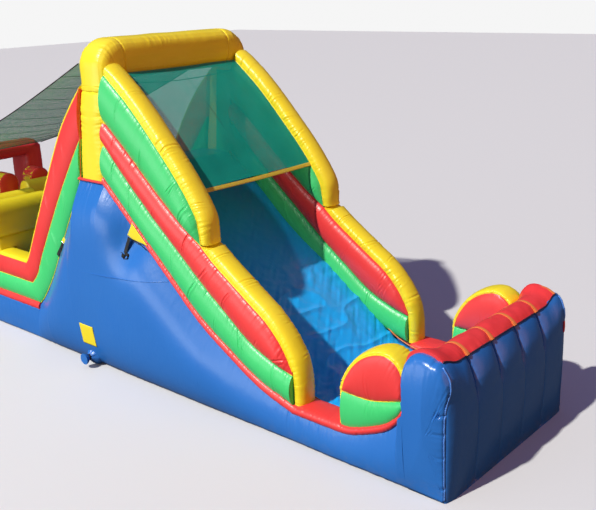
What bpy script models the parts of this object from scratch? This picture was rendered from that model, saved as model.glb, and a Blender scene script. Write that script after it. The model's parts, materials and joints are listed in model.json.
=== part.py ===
"""Inflatable water slide: the slide end of an inflatable obstacle course, with its walled bay and entrance.

Metres, +Z up. +X runs down the slide to the landing and +Y is the left hand of someone coming down. The origin is
on the ground at the middle of the footprint.
"""
import math

import bmesh
import bpy
from mathutils import Matrix, Vector

# Clearance that touching pieces keep
GAP = 0.0003

# Lengths of the sections along X, from the entrance to the end wall
ENTRANCE_DEPTH = 0.70
BAY_LENGTH = 4.15
CLIMB_RUN = 1.59
PLATFORM_LENGTH = 0.62
SLIDE_RUN = 3.67
LANDING_LENGTH = 1.82
END_WALL_THICKNESS = 0.55

# Widths
BASE_WIDTH = 3.00
WALL_THICKNESS = 0.40
WALL_SEAM_THICKNESS = 0.32

# Heights above the ground
PLATFORM_HEIGHT = 3.05
DECK_RISE = 0.08
REAR_RAIL_HEIGHT = 0.64
BAY_FLOOR_HEIGHT = 0.35
LANDING_RAIL_HEIGHT = 0.44
END_WALL_HEIGHT = 1.72
BUMPER_RISE = 1.18

# Skins and strips
LEDGE_THICKNESS = 0.06
LINER_THICKNESS = 0.03
COVER_THICKNESS = 0.03
COVER_MARGIN = 0.08
RIM_THICKNESS = 0.05
CAP_HEIGHT = 0.13
NET_THICKNESS = 0.006

# Side chamber: a flat skirt at the ground, the swell of its outer face and a flat band at the top
SIDE_SWELL = 0.09
SKIRT_SHARE = 0.12
BAND_SHARE = 0.90
SIDE_LEVEL_SHARES = (0.0, 0.12, 0.25, 0.40, 0.55, 0.70, 0.82, 0.90, 1.0)

# Points that follow a seam, for each stretch of it
CLIMB_STEPS = 9
SLIDE_UPPER_STEPS = 9
SLIDE_LOWER_STEPS = 8
BUMPER_STEPS = 12

# Derived stations along X
LENGTH = (ENTRANCE_DEPTH + BAY_LENGTH + CLIMB_RUN + PLATFORM_LENGTH + SLIDE_RUN + LANDING_LENGTH
          + END_WALL_THICKNESS)
X_REAR = -LENGTH / 2
X_BAY = X_REAR + ENTRANCE_DEPTH
X_CORNER = X_BAY + BAY_LENGTH
X_TOWER = X_CORNER + CLIMB_RUN
X_CREST = X_TOWER + PLATFORM_LENGTH
X_WALL_END = X_CREST + SLIDE_RUN
X_END_WALL = X_WALL_END + LANDING_LENGTH
X_FRONT = X_END_WALL + END_WALL_THICKNESS

# Derived planes across Y
Y_OUTER = BASE_WIDTH / 2
Y_INNER = Y_OUTER - WALL_THICKNESS
Y_WALL = (Y_OUTER + Y_INNER) / 2
SEAM_HALF = WALL_SEAM_THICKNESS / 2
WALL_HALF = WALL_THICKNESS / 2

# Arch: legs on the platform's side rails that lean forward, and a thick beam on them
LEG_HEIGHT = 1.45
ARCH_LEAN = 0.20
LEG_ROUNDING = 0.12
BEAM_CORNER = 0.42
BEAM_THICKNESS = 0.61
BEAM_INNER_CORNER = 0.06
BEAM_EDGE_SHARE = 0.62
BEAM_SECTION_SHARES = (0.0, 0.08, 0.25, 0.5, 0.75, 0.92, 1.0)
ARCH_CORNER_STEPS = 5
LEG_TOP = PLATFORM_HEIGHT + LEG_HEIGHT
BEAM_UNDERSIDE = LEG_TOP + BEAM_INNER_CORNER
ARCH_HEIGHT = BEAM_UNDERSIDE + BEAM_THICKNESS

SIDES = (("right", -1), ("left", 1))

# Seams of the slide's side walls, as shares of the slide's run and of its drop from platform to landing rail
RAIL_SHARES = ((0.0, 1.0), (0.174, 0.778), (0.365, 0.536), (0.534, 0.330), (0.692, 0.188), (0.842, 0.073),
               (1.0, 0.0))
LOWER_SEAM_SHARES = ((0.147, 1.050), (0.286, 0.870), (0.422, 0.709), (0.550, 0.556), (0.678, 0.421),
                     (0.804, 0.295), (0.924, 0.226), (1.0, 0.195))
MIDDLE_SEAM_SHARES = ((0.166, 1.207), (0.302, 1.034), (0.436, 0.881), (0.512, 0.805), (0.561, 0.760))
UPPER_SEAM_SHARES = ((0.193, 1.467), (0.324, 1.284), (0.452, 1.088), (0.535, 0.927), (0.552, 0.847),
                     (0.559, 0.768))
LOWER_CAP_SHARES = ((0.564, 0.755), (0.618, 0.690), (0.692, 0.617), (0.815, 0.502), (0.886, 0.433),
                    (0.954, 0.330), (1.0, 0.215))
CAP_MEETING_LEAN = (1.0, -0.05)
BED_SHARES = ((0.0, 1.031), (0.177, 0.858), (0.362, 0.636), (0.589, 0.418), (0.807, 0.200), (0.93, 0.070),
              (1.0, 0.025), (1.08, 0.0))

# Where the seams meet the arch leg, as shares of the leg's height
LOWER_SEAM_LEG_SHARE = 0.414
MIDDLE_SEAM_LEG_SHARE = 0.648
UPPER_SEAM_LEG_SHARE = 1.110
CLIMB_SEAM_LEG_SHARE = 0.428
CLIMB_TOP_LEG_SHARE = 0.952

# Seams of the climb's side walls, as shares of the climb's run and of its rise from rear rail to platform
CLIMB_RAIL_SHARES = ((0.0, 0.0), (0.12, 0.075), (0.308, 0.235), (0.497, 0.436), (0.717, 0.676), (0.918, 0.884),
                     (1.0, 1.0))
CLIMB_SEAM_SHARES = ((-0.107, 0.150), (0.02, 0.240), (0.151, 0.394), (0.560, 0.813), (0.893, 1.120))
CLIMB_TOP_SHARES = ((-0.195, 0.290), (-0.101, 0.373), (0.283, 0.809), (0.623, 1.178), (0.824, 1.362))

# Bumper outlines, as shares of its length and of its rise
BUMPER_LENGTH = 0.93
BUMPER_TOP_SHARES = ((0.011, 0.466), (0.086, 0.627), (0.258, 0.822), (0.473, 0.949), (0.710, 1.0),
                     (0.885, 0.941), (0.975, 0.831), (1.0, 0.686), (1.0, 0.600))
BUMPER_SPLIT_SHARES = ((0.011, 0.432), (0.5, 0.436), (1.0, 0.551))
BUMPER_SEAT_SHARES = ((0.0, 0.0), (0.19, 0.026), (0.49, 0.118), (0.74, 0.220), (0.92, 0.349), (1.0, 0.450))
BUMPER_FLANK_SHARES = (0.35, 0.75)

# End wall outline from the inner foot over the crown to the outer foot, as shares of thickness and height
END_WALL_FOOT_SHARES = ((0.0, 0.0), (0.0, 0.35))
END_WALL_COVERED_SHARES = ((0.0, 0.68), (0.0, 0.83), (0.05, 0.92), (0.19, 0.975), (0.37, 1.0), (0.58, 0.985))
END_WALL_BACK_SHARES = ((0.78, 0.93), (0.93, 0.83), (1.0, 0.70), (1.0, 0.45), (1.0, 0.2), (1.0, 0.0))
END_WALL_SHARES = END_WALL_FOOT_SHARES + END_WALL_COVERED_SHARES + END_WALL_BACK_SHARES
RIB_COUNT = 5
RIB_STEPS = 4
RIB_CLEFT = 0.07
RIB_GROOVE = 0.02
END_RIB_SHARE = 0.8

# Bay obstacles: walls of stacked rolls, posts and the entrance arch
CROSS_WALL_THICKNESS = 0.45
CROSS_WALL_DISTANCE = 1.20
CROSS_WALL_TOP = 2.25
CROSS_WALL_REACH = 1.46
CRAWL_WIDTH = 0.90
CRAWL_HEIGHT = 0.85
HALF_WALL_THICKNESS = 0.42
HALF_WALL_DISTANCE = 0.575
HALF_WALL_PITCH = 0.65
HALF_WALL_TOP = 2.22
RIGHT_HALF_WALL_END = -0.17
LEFT_HALF_WALL_END = 0.0
ROLL_COUNT = 3
ROLL_PINCH = 0.05
POST_WIDTH = 0.44
POST_DEPTH = 0.40
POST_TOP = 2.42
POST_PAIR_MIDDLE = 0.26
POST_OFFSET = 0.355
POST_DISTANCE = 0.09
LOW_WALL_SEAM = 1.00
LOW_WALL_TOP = 1.345
ENTRANCE_TOP = 2.72
ENTRANCE_HEADER = 2.39
ENTRANCE_LEG = 0.48
ROUNDING = 0.07
ARC_STEPS = 6

# Foot rolls across the climb
FOOT_ROLLS = 6
FOOT_ROLL_RADIUS = 0.09

# Nets
CANOPY_RISE = 0.30
CANOPY_END = 2.66
CANOPY_SAG = 0.16
CANOPY_DROOP = 0.12
SLIDE_NET_SAG = 0.05
NET_SHARE = 0.488
NET_STEPS = 8
STRAP_WIDTH = 0.06
STRAP_THICKNESS = 0.004

# Tethers: patch, link and webbing
LINK_WIRE = 0.008
LINK_PITCH = 0.045
LINK_WIDTH = 0.077
WEB_WIDTH = 0.060
WEB_THICKNESS = 0.004
EYE_CLEARANCE = 0.0008
TETHER_RUN = 0.26
TETHER_TURNS = 3
TETHER_ROLL_RADIUS = 0.032
TETHER_PITCH = 0.013
TETHER_SHARE = 0.150
TETHER_DROP = 0.265
TETHER_LEAN = math.radians(16)
TETHER_TILT = math.radians(9)
CLIMB_STRAP_LEAN = math.radians(34)
CLIMB_STRAP_TILT = math.radians(2)
CLIMB_STRAP_DROP = 0.082
PATCH_SETBACK = 0.12
PATCH_LENGTH = 0.28
PATCH_THICKNESS = 0.004
TAB_LENGTH = 0.04
SMALL_PATCH_WIDTH = 0.09
SMALL_PATCH_HEIGHT = 0.08
STAPLE_WIDTH = 0.073
CLIMB_STRAP_SHARE = 0.62
CLIMB_STRAP_LENGTH = 0.30

# Blower sleeve, tied off: radius and distance from the side, from the side outwards
SLEEVE_POSITION_SHARE = 0.18
SLEEVE_HEIGHT = 0.17
SLEEVE_RADIUS = 0.155
SLEEVE_LENGTH = 0.30
SLEEVE_SHARES = ((1.0, 0.0), (1.04, 0.15), (0.92, 0.36), (0.55, 0.56), (0.30, 0.66), (0.30, 0.74), (0.52, 0.86),
                 (0.62, 1.0))
TURN_STEPS = 20

# Colours: red, green, blue
BLUE = (0.035, 0.20, 0.62)
SLIDE_BLUE = (0.01, 0.36, 0.78)
YELLOW = (0.90, 0.68, 0.02)
RED = (0.86, 0.045, 0.05)
GREEN = (0.05, 0.66, 0.18)
NET_GREEN = (0.02, 0.30, 0.20)
BLACK = (0.01, 0.01, 0.012)
STEEL = (0.60, 0.60, 0.62)

SECTION_SHARES = (0.0, 0.1, 0.3, 0.5, 0.7, 0.9, 1.0)
CAP_SECTION_SHARES = (0.0, 0.35, 0.65, 0.86, 0.97)

for leftover in list(bpy.data.objects):
    bpy.data.objects.remove(leftover)

parts = bpy.data.collections.new("inflatable_water_slide")
bpy.context.scene.collection.children.link(parts)
cutters = bpy.data.collections.new("cutters")
bpy.context.scene.collection.children.link(cutters)


def make_material(name, colour, roughness=0.3, metallic=0.0):
    material = bpy.data.materials.new(name)
    material.use_nodes = True
    shader = material.node_tree.nodes["Principled BSDF"]
    shader.inputs["Base Color"].default_value = (*colour, 1.0)
    shader.inputs["Roughness"].default_value = roughness
    shader.inputs["Metallic"].default_value = metallic
    return material


blue_vinyl = make_material("blue_vinyl", BLUE)
slide_vinyl = make_material("slide_vinyl", SLIDE_BLUE)
yellow_vinyl = make_material("yellow_vinyl", YELLOW)
red_vinyl = make_material("red_vinyl", RED)
green_vinyl = make_material("green_vinyl", GREEN)
green_net = make_material("green_net", NET_GREEN, 0.8)
yellow_webbing = make_material("yellow_webbing", YELLOW, 0.7)
black_webbing = make_material("black_webbing", BLACK, 0.7)
steel = make_material("steel", STEEL, 0.3, 1.0)


# Lines in the XZ plane


def curve_through(points, steps):
    """A smooth line through the points, in equal steps along its length."""
    ends = [2 * Vector(points[0]) - Vector(points[1]), *map(Vector, points),
            2 * Vector(points[-1]) - Vector(points[-2])]
    fine = []
    samples = 12
    for before, start, end, after in zip(ends, ends[1:], ends[2:], ends[3:]):
        for sample in range(samples):
            t = sample / samples
            fine.append(0.5 * (2 * start + (end - before) * t
                               + (2 * before - 5 * start + 4 * end - after) * t ** 2
                               + (3 * start - before - 3 * end + after) * t ** 3))
    fine.append(Vector(points[-1]))
    travelled = [0.0]
    for start, end in zip(fine, fine[1:]):
        travelled.append(travelled[-1] + (end - start).length)
    line = []
    for step in range(steps):
        target = travelled[-1] * step / (steps - 1)
        index = max(i for i, value in enumerate(travelled) if value <= target + 1e-9)
        index = min(index, len(fine) - 2)
        stretch = travelled[index + 1] - travelled[index]
        line.append(fine[index].lerp(fine[index + 1], (target - travelled[index]) / stretch))
    return line


def offset_line(line, distance):
    """The line moved sideways, to the left of its direction."""
    moved = []
    for index, point in enumerate(line):
        ahead = line[min(index + 1, len(line) - 1)] - point
        behind = point - line[max(index - 1, 0)]
        direction = (ahead.normalized() + behind.normalized()).normalized()
        moved.append(point + Vector((-direction.y, direction.x)) * distance)
    return moved


def height_on(line, x):
    """The height of a line at x, on its straight runs."""
    for start, end in zip(line, line[1:]):
        if start.x <= x <= end.x:
            return start.y + (end.y - start.y) * (x - start.x) / (end.x - start.x)
    return line[0].y if x < line[0].x else line[-1].y


def drawn_in(line):
    """The line with both ends drawn in by the clearance."""
    first = (line[1] - line[0]).normalized() * GAP
    last = (line[-2] - line[-1]).normalized() * GAP
    return [line[0] + first, *line[1:-1], line[-1] + last]


def slide_point(share):
    drop = PLATFORM_HEIGHT - LANDING_RAIL_HEIGHT
    return Vector((X_CREST + share[0] * SLIDE_RUN, LANDING_RAIL_HEIGHT + share[1] * drop))


def climb_point(share):
    rise = PLATFORM_HEIGHT - REAR_RAIL_HEIGHT
    return Vector((X_CORNER + share[0] * CLIMB_RUN, REAR_RAIL_HEIGHT + share[1] * rise))


def bumper_point(share):
    left = X_END_WALL - COVER_THICKNESS - RIM_THICKNESS - 3 * GAP - BUMPER_LENGTH
    base = LANDING_RAIL_HEIGHT + LEDGE_THICKNESS
    return Vector((left + share[0] * BUMPER_LENGTH, base + share[1] * (BUMPER_RISE - LEDGE_THICKNESS)))


def leg_front(share):
    return Vector((X_CREST + ARCH_LEAN * share, PLATFORM_HEIGHT + LEG_HEIGHT * share))


def leg_back(share):
    return Vector((X_TOWER + ARCH_LEAN * share, PLATFORM_HEIGHT + LEG_HEIGHT * share))


ledge_rise = Vector((0.0, LEDGE_THICKNESS))
slide_steps = SLIDE_UPPER_STEPS + SLIDE_LOWER_STEPS

# Seams of the slide walls, each from the arch leg down to the wall's end
rail_line = curve_through([slide_point(share) for share in RAIL_SHARES], slide_steps)
foot_line = [leg_front(LEDGE_THICKNESS / LEG_HEIGHT)] + [point + ledge_rise for point in rail_line[1:]]
lower_seam = curve_through([leg_front(LOWER_SEAM_LEG_SHARE)] + [slide_point(s) for s in LOWER_SEAM_SHARES],
                           slide_steps)
middle_seam = curve_through([leg_front(MIDDLE_SEAM_LEG_SHARE)] + [slide_point(s) for s in MIDDLE_SEAM_SHARES],
                            SLIDE_UPPER_STEPS)
upper_seam = curve_through([leg_front(UPPER_SEAM_LEG_SHARE)] + [slide_point(s) for s in UPPER_SEAM_SHARES],
                           SLIDE_UPPER_STEPS)
lower_cap_seam = curve_through([slide_point(s) for s in LOWER_CAP_SHARES], SLIDE_LOWER_STEPS)
bed_line = curve_through([slide_point(s) for s in BED_SHARES], slide_steps)
bed_line = [point for point in bed_line if point.x < X_WALL_END] + [
    Vector((X_WALL_END, height_on(bed_line, X_WALL_END))), bed_line[-1],
    Vector((X_END_WALL - COVER_THICKNESS, LANDING_RAIL_HEIGHT))]

# Seams of the climb walls, each from the corner up to the arch leg
climb_rail = curve_through([climb_point(share) for share in CLIMB_RAIL_SHARES], CLIMB_STEPS)
climb_seam = curve_through([climb_point(s) for s in CLIMB_SEAM_SHARES] + [leg_back(CLIMB_SEAM_LEG_SHARE)],
                           CLIMB_STEPS)
climb_top = curve_through([climb_point(s) for s in CLIMB_TOP_SHARES] + [leg_back(CLIMB_TOP_LEG_SHARE)],
                          CLIMB_STEPS)

# Seams of the bumper, from the slide's side to the end wall's
bumper_seat = curve_through([bumper_point(share) for share in BUMPER_SEAT_SHARES], BUMPER_STEPS)
bumper_split = curve_through([bumper_point(share) for share in BUMPER_SPLIT_SHARES], BUMPER_STEPS)
bumper_top = curve_through([bumper_point(share) for share in BUMPER_TOP_SHARES], BUMPER_STEPS)

# The rail's top along the whole side: climb, platform, slide, landing and the bumper's seat
seat_end = Vector((X_END_WALL, bumper_seat[-1].y + X_END_WALL - bumper_seat[-1].x))
landing_line = [Vector((X_WALL_END, LANDING_RAIL_HEIGHT)) + ledge_rise, *bumper_seat, seat_end]
side_top = climb_rail + rail_line + [point - ledge_rise for point in landing_line[1:]]


# Bodies


def add_part(name, mesh, material, collection=parts):
    piece = bpy.data.objects.new(name, mesh)
    mesh.materials.append(material)
    collection.objects.link(piece)
    mesh.shade_smooth()
    mesh.set_sharp_from_angle(angle=math.radians(40))
    return piece


def loft(name, rings, material, collection=parts):
    """One closed body through a row of rings that have the same number of points."""
    bm = bmesh.new()
    loops = [[bm.verts.new(point) for point in ring] for ring in rings]
    for start, end in zip(loops, loops[1:]):
        for i in range(len(start)):
            j = (i + 1) % len(start)
            bm.faces.new((start[i], start[j], end[j], end[i]))
    bm.faces.new(loops[0])
    bm.faces.new(loops[-1])
    bmesh.ops.recalc_face_normals(bm, faces=bm.faces)
    mesh = bpy.data.meshes.new(name)
    bm.to_mesh(mesh)
    bm.free()
    return add_part(name, mesh, material, collection)


def across_wall(point, side, offset):
    return Vector((point.x, side * (Y_WALL + offset), point.y))


def tube_ring(low, high, side, half, swell, shares=SECTION_SHARES):
    """A ring round a tube between two seams, pinched at both and swollen between them."""
    across = high - low
    trim = across.normalized() * GAP
    outer, inner = [], []
    for share in shares:
        point = low + trim + (across - 2 * trim) * share
        reach = half + swell * math.sqrt(max(0.0, 1 - (2 * share - 1) ** 2)) - GAP
        outer.append(across_wall(point, side, reach))
        inner.append(across_wall(point, side, -reach))
    return outer + inner[::-1]


def tube(name, low, high, side, material):
    """A wall tube between two seams, its swell less where it is narrow."""
    rings = []
    for low_point, high_point in zip(drawn_in(low), drawn_in(high)):
        swell = min(WALL_HALF - SEAM_HALF, (high_point - low_point).length / 2)
        rings.append(tube_ring(low_point, high_point, side, SEAM_HALF, swell))
    return loft(name, rings, material)


def cap(name, seam, height, side, material, first_lean=None, last_lean=None):
    """A half-round strip along the top of a tube."""
    line = drawn_in(seam)
    crown = offset_line(line, height)
    if first_lean:
        crown[0] = line[0] + first_lean * height
    if last_lean:
        crown[-1] = line[-1] + last_lean * height
    rings = []
    for low_point, high_point in zip(line, crown):
        across = high_point - low_point
        low_point = low_point + across.normalized() * GAP
        outer, inner = [], []
        for share in CAP_SECTION_SHARES:
            reach = (SEAM_HALF - GAP) * math.sqrt(1 - share ** 2)
            point = low_point + across * share
            outer.append(across_wall(point, side, reach))
            inner.append(across_wall(point, side, -reach))
        rings.append(outer + inner[::-1])
    return loft(name, rings, material)


def sheet(name, line, half_width, thickness, material):
    """A flat skin across the object that follows a line, lying on the line."""
    under = [point.copy() for point in line]
    over = offset_line(line, thickness)
    rings = []
    for low_point, high_point in zip(under, over):
        rings.append([Vector((point.x, y, point.y)) for point, y in (
            (low_point, -half_width), (low_point, half_width), (high_point, half_width),
            (high_point, -half_width))])
    return loft(name, rings, material)


def block_under(name, line, half_width, material):
    """A chamber across the object, from the ground up to a line."""
    rings = []
    for point in line:
        rings.append([Vector((point.x, y, z)) for y, z in (
            (-half_width, 0.0), (half_width, 0.0), (half_width, point.y), (-half_width, point.y))])
    return loft(name, rings, material)


def arc(centre, radius, start, end, steps=ARC_STEPS):
    points = []
    for step in range(steps + 1):
        angle = math.radians(start + (end - start) * step / steps)
        points.append(centre + Vector((math.cos(angle), math.sin(angle))) * radius)
    return points


def meshed(curve):
    """The closed mesh of a curve that has a thickness."""
    draft = bpy.data.objects.new(curve.name, curve)
    bpy.context.scene.collection.objects.link(draft)
    bpy.context.view_layer.update()
    mesh = bpy.data.meshes.new_from_object(draft.evaluated_get(bpy.context.evaluated_depsgraph_get()))
    bpy.data.objects.remove(draft)
    bm = bmesh.new()
    bm.from_mesh(mesh)
    bmesh.ops.remove_doubles(bm, verts=bm.verts, dist=0.0001)
    bmesh.ops.dissolve_limit(bm, angle_limit=math.radians(1), verts=bm.verts, edges=bm.edges)
    bmesh.ops.recalc_face_normals(bm, faces=bm.faces)
    bm.to_mesh(mesh)
    bm.free()
    return mesh


def outline_solid(name, outline, thickness, matrix, material, holes=(), rounding=0.0, collection=parts):
    """A flat outline given a thickness, its local X and Y turned and placed by the matrix."""
    curve = bpy.data.curves.new(name, "CURVE")
    curve.dimensions = "2D"
    curve.fill_mode = "BOTH"
    curve.extrude = thickness / 2
    for points in (outline, *holes):
        spline = curve.splines.new("POLY")
        spline.points.add(len(points) - 1)
        for target, point in zip(spline.points, points):
            target.co = (point[0], point[1], 0.0, 1.0)
        spline.use_cyclic_u = True
    piece = add_part(name, meshed(curve), material, collection)
    piece.matrix_world = matrix
    if rounding:
        bevel = piece.modifiers.new("rounded edges", "BEVEL")
        bevel.width = rounding
        bevel.segments = 2
        bevel.limit_method = "ANGLE"
    return piece


def facing_x(x):
    """Local X along world Y, local Y up, thickness along X, centred on x."""
    return Matrix(((0, 0, 1, x), (1, 0, 0, 0), (0, 1, 0, 0), (0, 0, 0, 1)))


def cut(piece, cutter):
    cutter.hide_render = True
    cutter.display_type = "WIRE"
    boolean = piece.modifiers.new(cutter.name, "BOOLEAN")
    boolean.operation = "DIFFERENCE"
    boolean.solver = "EXACT"
    boolean.object = cutter


# Base of the side: swollen chamber and the ledge strip on it


def side_chamber(name, side):
    rings = []
    for point in drawn_in(side_top):
        swell = SIDE_SWELL * min(1.0, point.y / PLATFORM_HEIGHT)
        ring = [Vector((point.x, side * (Y_INNER + GAP), 0.0))]
        for share in SIDE_LEVEL_SHARES:
            phase = min(max(share, SKIRT_SHARE), BAND_SHARE) - SKIRT_SHARE
            phase /= BAND_SHARE - SKIRT_SHARE
            reach = Y_OUTER + swell * math.sin(math.pi * phase)
            ring.append(Vector((point.x, side * reach, point.y * share)))
        ring.append(Vector((point.x, side * (Y_INNER + GAP), point.y)))
        rings.append(ring)
    return loft(name, rings, blue_vinyl)


def ledge(name, side):
    lows = rail_line + [point - ledge_rise for point in landing_line[1:]]
    highs = foot_line + landing_line[1:]
    rings = []
    for low_point, high_point in zip(drawn_in(lows), drawn_in(highs)):
        low_point = low_point + Vector((0.0, GAP))
        high_point = high_point - Vector((0.0, GAP))
        rings.append([Vector((point.x, side * y, point.y)) for point, y in (
            (low_point, Y_INNER + GAP), (low_point, Y_OUTER), (high_point, Y_OUTER),
            (high_point, Y_INNER + GAP))])
    return loft(name, rings, red_vinyl)


def slide_walls():
    upper = SLIDE_UPPER_STEPS
    red_top = middle_seam + lower_cap_seam
    wall_foot = Vector((X_WALL_END, foot_line[-1].y))
    cap_line = lower_cap_seam + [Vector((X_WALL_END, lower_seam[-1].y)), wall_foot]
    upright = Vector((ARCH_LEAN, LEG_HEIGHT)).normalized()
    meeting = Vector(CAP_MEETING_LEAN)
    for label, side in SIDES:
        tube(f"slide_wall_lower_green_{label}", foot_line, lower_seam, side, green_vinyl)
        tube(f"slide_wall_red_{label}", lower_seam, red_top, side, red_vinyl)
        tube(f"slide_wall_upper_green_{label}", red_top[:upper], upper_seam, side, green_vinyl)
        cap(f"slide_wall_upper_cap_{label}", upper_seam, CAP_HEIGHT, side, yellow_vinyl, first_lean=upright,
            last_lean=meeting)
        cap(f"slide_wall_lower_cap_{label}", cap_line, CAP_HEIGHT, side, yellow_vinyl, first_lean=meeting,
            last_lean=Vector((1.0, 0.0)))


def rear_walls():
    """The side walls that run level along the bay and then up the climb."""
    rail = [Vector((X_BAY, REAR_RAIL_HEIGHT)), *climb_rail]
    seam = [Vector((X_BAY, LOW_WALL_SEAM)), *climb_seam]
    top = [Vector((X_BAY, LOW_WALL_TOP)), *climb_top]
    upright = Vector((ARCH_LEAN, LEG_HEIGHT)).normalized()
    for label, side in SIDES:
        tube(f"rear_wall_green_{label}", rail, seam, side, green_vinyl)
        tube(f"rear_wall_red_{label}", seam, top, side, red_vinyl)
        cap(f"rear_wall_rim_{label}", top, RIM_THICKNESS, side, yellow_vinyl, last_lean=upright)


def bumpers():
    seat_corner = bumper_seat[0]
    flank = [seat_corner.lerp(bumper_top[0], share) for share in BUMPER_FLANK_SHARES]
    rim_line = [seat_corner, *flank, *bumper_top]
    side_out = Vector((-1.0, 0.0))
    for label, side in SIDES:
        tube(f"bumper_lower_{label}", bumper_seat, bumper_split, side, green_vinyl)
        tube(f"bumper_upper_{label}", bumper_split, bumper_top, side, red_vinyl)
        cap(f"bumper_rim_{label}", rim_line, RIM_THICKNESS, side, yellow_vinyl, first_lean=side_out)


# Chambers between the two sides


def roll_outline(line, count, radius):
    """The line with round rolls standing on it, evenly spread."""
    rolls = curve_through(line, 2 * count + 1)[1::2]
    outline = [line[0]]
    along = (line[-1] - line[0]).normalized()
    tilt = math.degrees(math.atan2(along.y, along.x))
    for centre in rolls:
        outline.extend(arc(centre, radius, tilt + 180, tilt))
    outline.append(line[-1])
    return outline


def centre_chambers():
    half = Y_INNER - GAP
    under_bed = [point - Vector((0.0, LINER_THICKNESS)) for point in bed_line]
    split = max(i for i, point in enumerate(under_bed) if point.x <= X_WALL_END + GAP)
    slide = drawn_in(under_bed[:split + 1])
    landing = drawn_in(under_bed[split:])
    block_under("slide_chamber", slide, half, blue_vinyl)
    block_under("landing_floor", landing, half, slide_vinyl)
    sheet("slide_liner", [point + Vector((0.0, GAP)) for point in drawn_in(under_bed)], half,
          LINER_THICKNESS, slide_vinyl)
    deck_height = PLATFORM_HEIGHT + DECK_RISE
    deck = [Vector((X_TOWER + GAP, deck_height)), Vector((X_CREST - GAP, deck_height))]
    block_under("platform_chamber", deck, half, blue_vinyl)
    ramp = [Vector((X_CORNER + GAP, BAY_FLOOR_HEIGHT)), Vector((X_TOWER - GAP, deck_height))]
    outline = roll_outline(ramp, FOOT_ROLLS, FOOT_ROLL_RADIUS)
    outline += [Vector((X_TOWER - GAP, 0.0)), Vector((X_CORNER + GAP, 0.0))]
    rings = [[Vector((point.x, y, point.y)) for point in outline] for y in (-half, half)]
    loft("climb_chamber", rings, blue_vinyl)


def rear_base():
    top = REAR_RAIL_HEIGHT - LEDGE_THICKNESS
    outline = ((-Y_OUTER, 0.0), (Y_OUTER, 0.0), (Y_OUTER, top), (Y_INNER, top), (Y_INNER, BAY_FLOOR_HEIGHT),
               (-Y_INNER, BAY_FLOOR_HEIGHT), (-Y_INNER, top), (-Y_OUTER, top))
    length = X_CORNER - X_REAR - 2 * GAP
    middle = (X_CORNER + X_REAR) / 2
    outline_solid("rear_base", outline, length, facing_x(middle), blue_vinyl)
    for label, side in SIDES:
        strip = [(side * y, z) for y, z in ((Y_INNER, top + GAP), (Y_OUTER, top + GAP),
                                            (Y_OUTER, REAR_RAIL_HEIGHT - GAP), (Y_INNER, REAR_RAIL_HEIGHT - GAP))]
        outline_solid(f"rear_ledge_{label}", strip, length, facing_x(middle), red_vinyl)


# End wall and its cover


def rib_fullness(y):
    """0 in a seam between ribs, 1 along a rib's middle, and nearly full at the wall's two ends."""
    reach = Y_OUTER - COVER_MARGIN
    pitch = 2 * reach / RIB_COUNT
    if abs(y) > reach - pitch / 2:
        return END_RIB_SHARE + (1 - END_RIB_SHARE) * (Y_OUTER - abs(y)) / (COVER_MARGIN + pitch / 2)
    position = ((y + reach) / pitch) % 1.0
    position = min(position, 1 - position)
    return math.sqrt(max(0.0, 1 - (1 - 2 * position) ** 2)) if position > 1e-6 else 0.0


def end_wall_section(y, shares):
    hollow = 1 - rib_fullness(y)
    points = []
    for x_share, z_share in shares:
        cleft = RIB_CLEFT * max(0.0, min(1.0, (z_share - 0.55) / 0.3)) + RIB_GROOVE * (z_share > 0)
        point = Vector((X_END_WALL + x_share * END_WALL_THICKNESS, z_share * END_WALL_HEIGHT))
        inward = Vector((-x_share, -max(0.0, z_share - 0.8) / 0.2)) if z_share else Vector((0.0, 0.0))
        points.append(point + inward * cleft * hollow)
    return points


def end_wall():
    reach = Y_OUTER - COVER_MARGIN
    covered = [reach * (2 * i / (RIB_COUNT * RIB_STEPS) - 1) for i in range(RIB_COUNT * RIB_STEPS + 1)]
    rings = []
    for y in [-Y_OUTER, *covered, Y_OUTER]:
        section = end_wall_section(y, END_WALL_SHARES)
        rings.append([Vector((max(p.x, X_END_WALL + GAP), y, p.y)) for p in section])
    loft("end_wall", rings, blue_vinyl)
    rings = []
    for y in covered:
        skin = end_wall_section(y, END_WALL_COVERED_SHARES)
        inner = offset_line(skin, GAP)
        outer = offset_line(skin, COVER_THICKNESS)
        rings.append([Vector((p.x, y, p.y)) for p in inner + outer[::-1]])
    loft("end_wall_cover", rings, red_vinyl)


# Arch over the platform


def rounded_ring(centre, half_x, half_y, radius, z):
    corners = ((1, 1, 0), (-1, 1, 90), (-1, -1, 180), (1, -1, 270))
    ring = []
    for sign_x, sign_y, start in corners:
        middle = Vector((centre[0] + sign_x * (half_x - radius), centre[1] + sign_y * (half_y - radius)))
        ring.extend(Vector((p.x, p.y, z)) for p in arc(middle, radius, start, start + 90, 3))
    return ring


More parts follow.
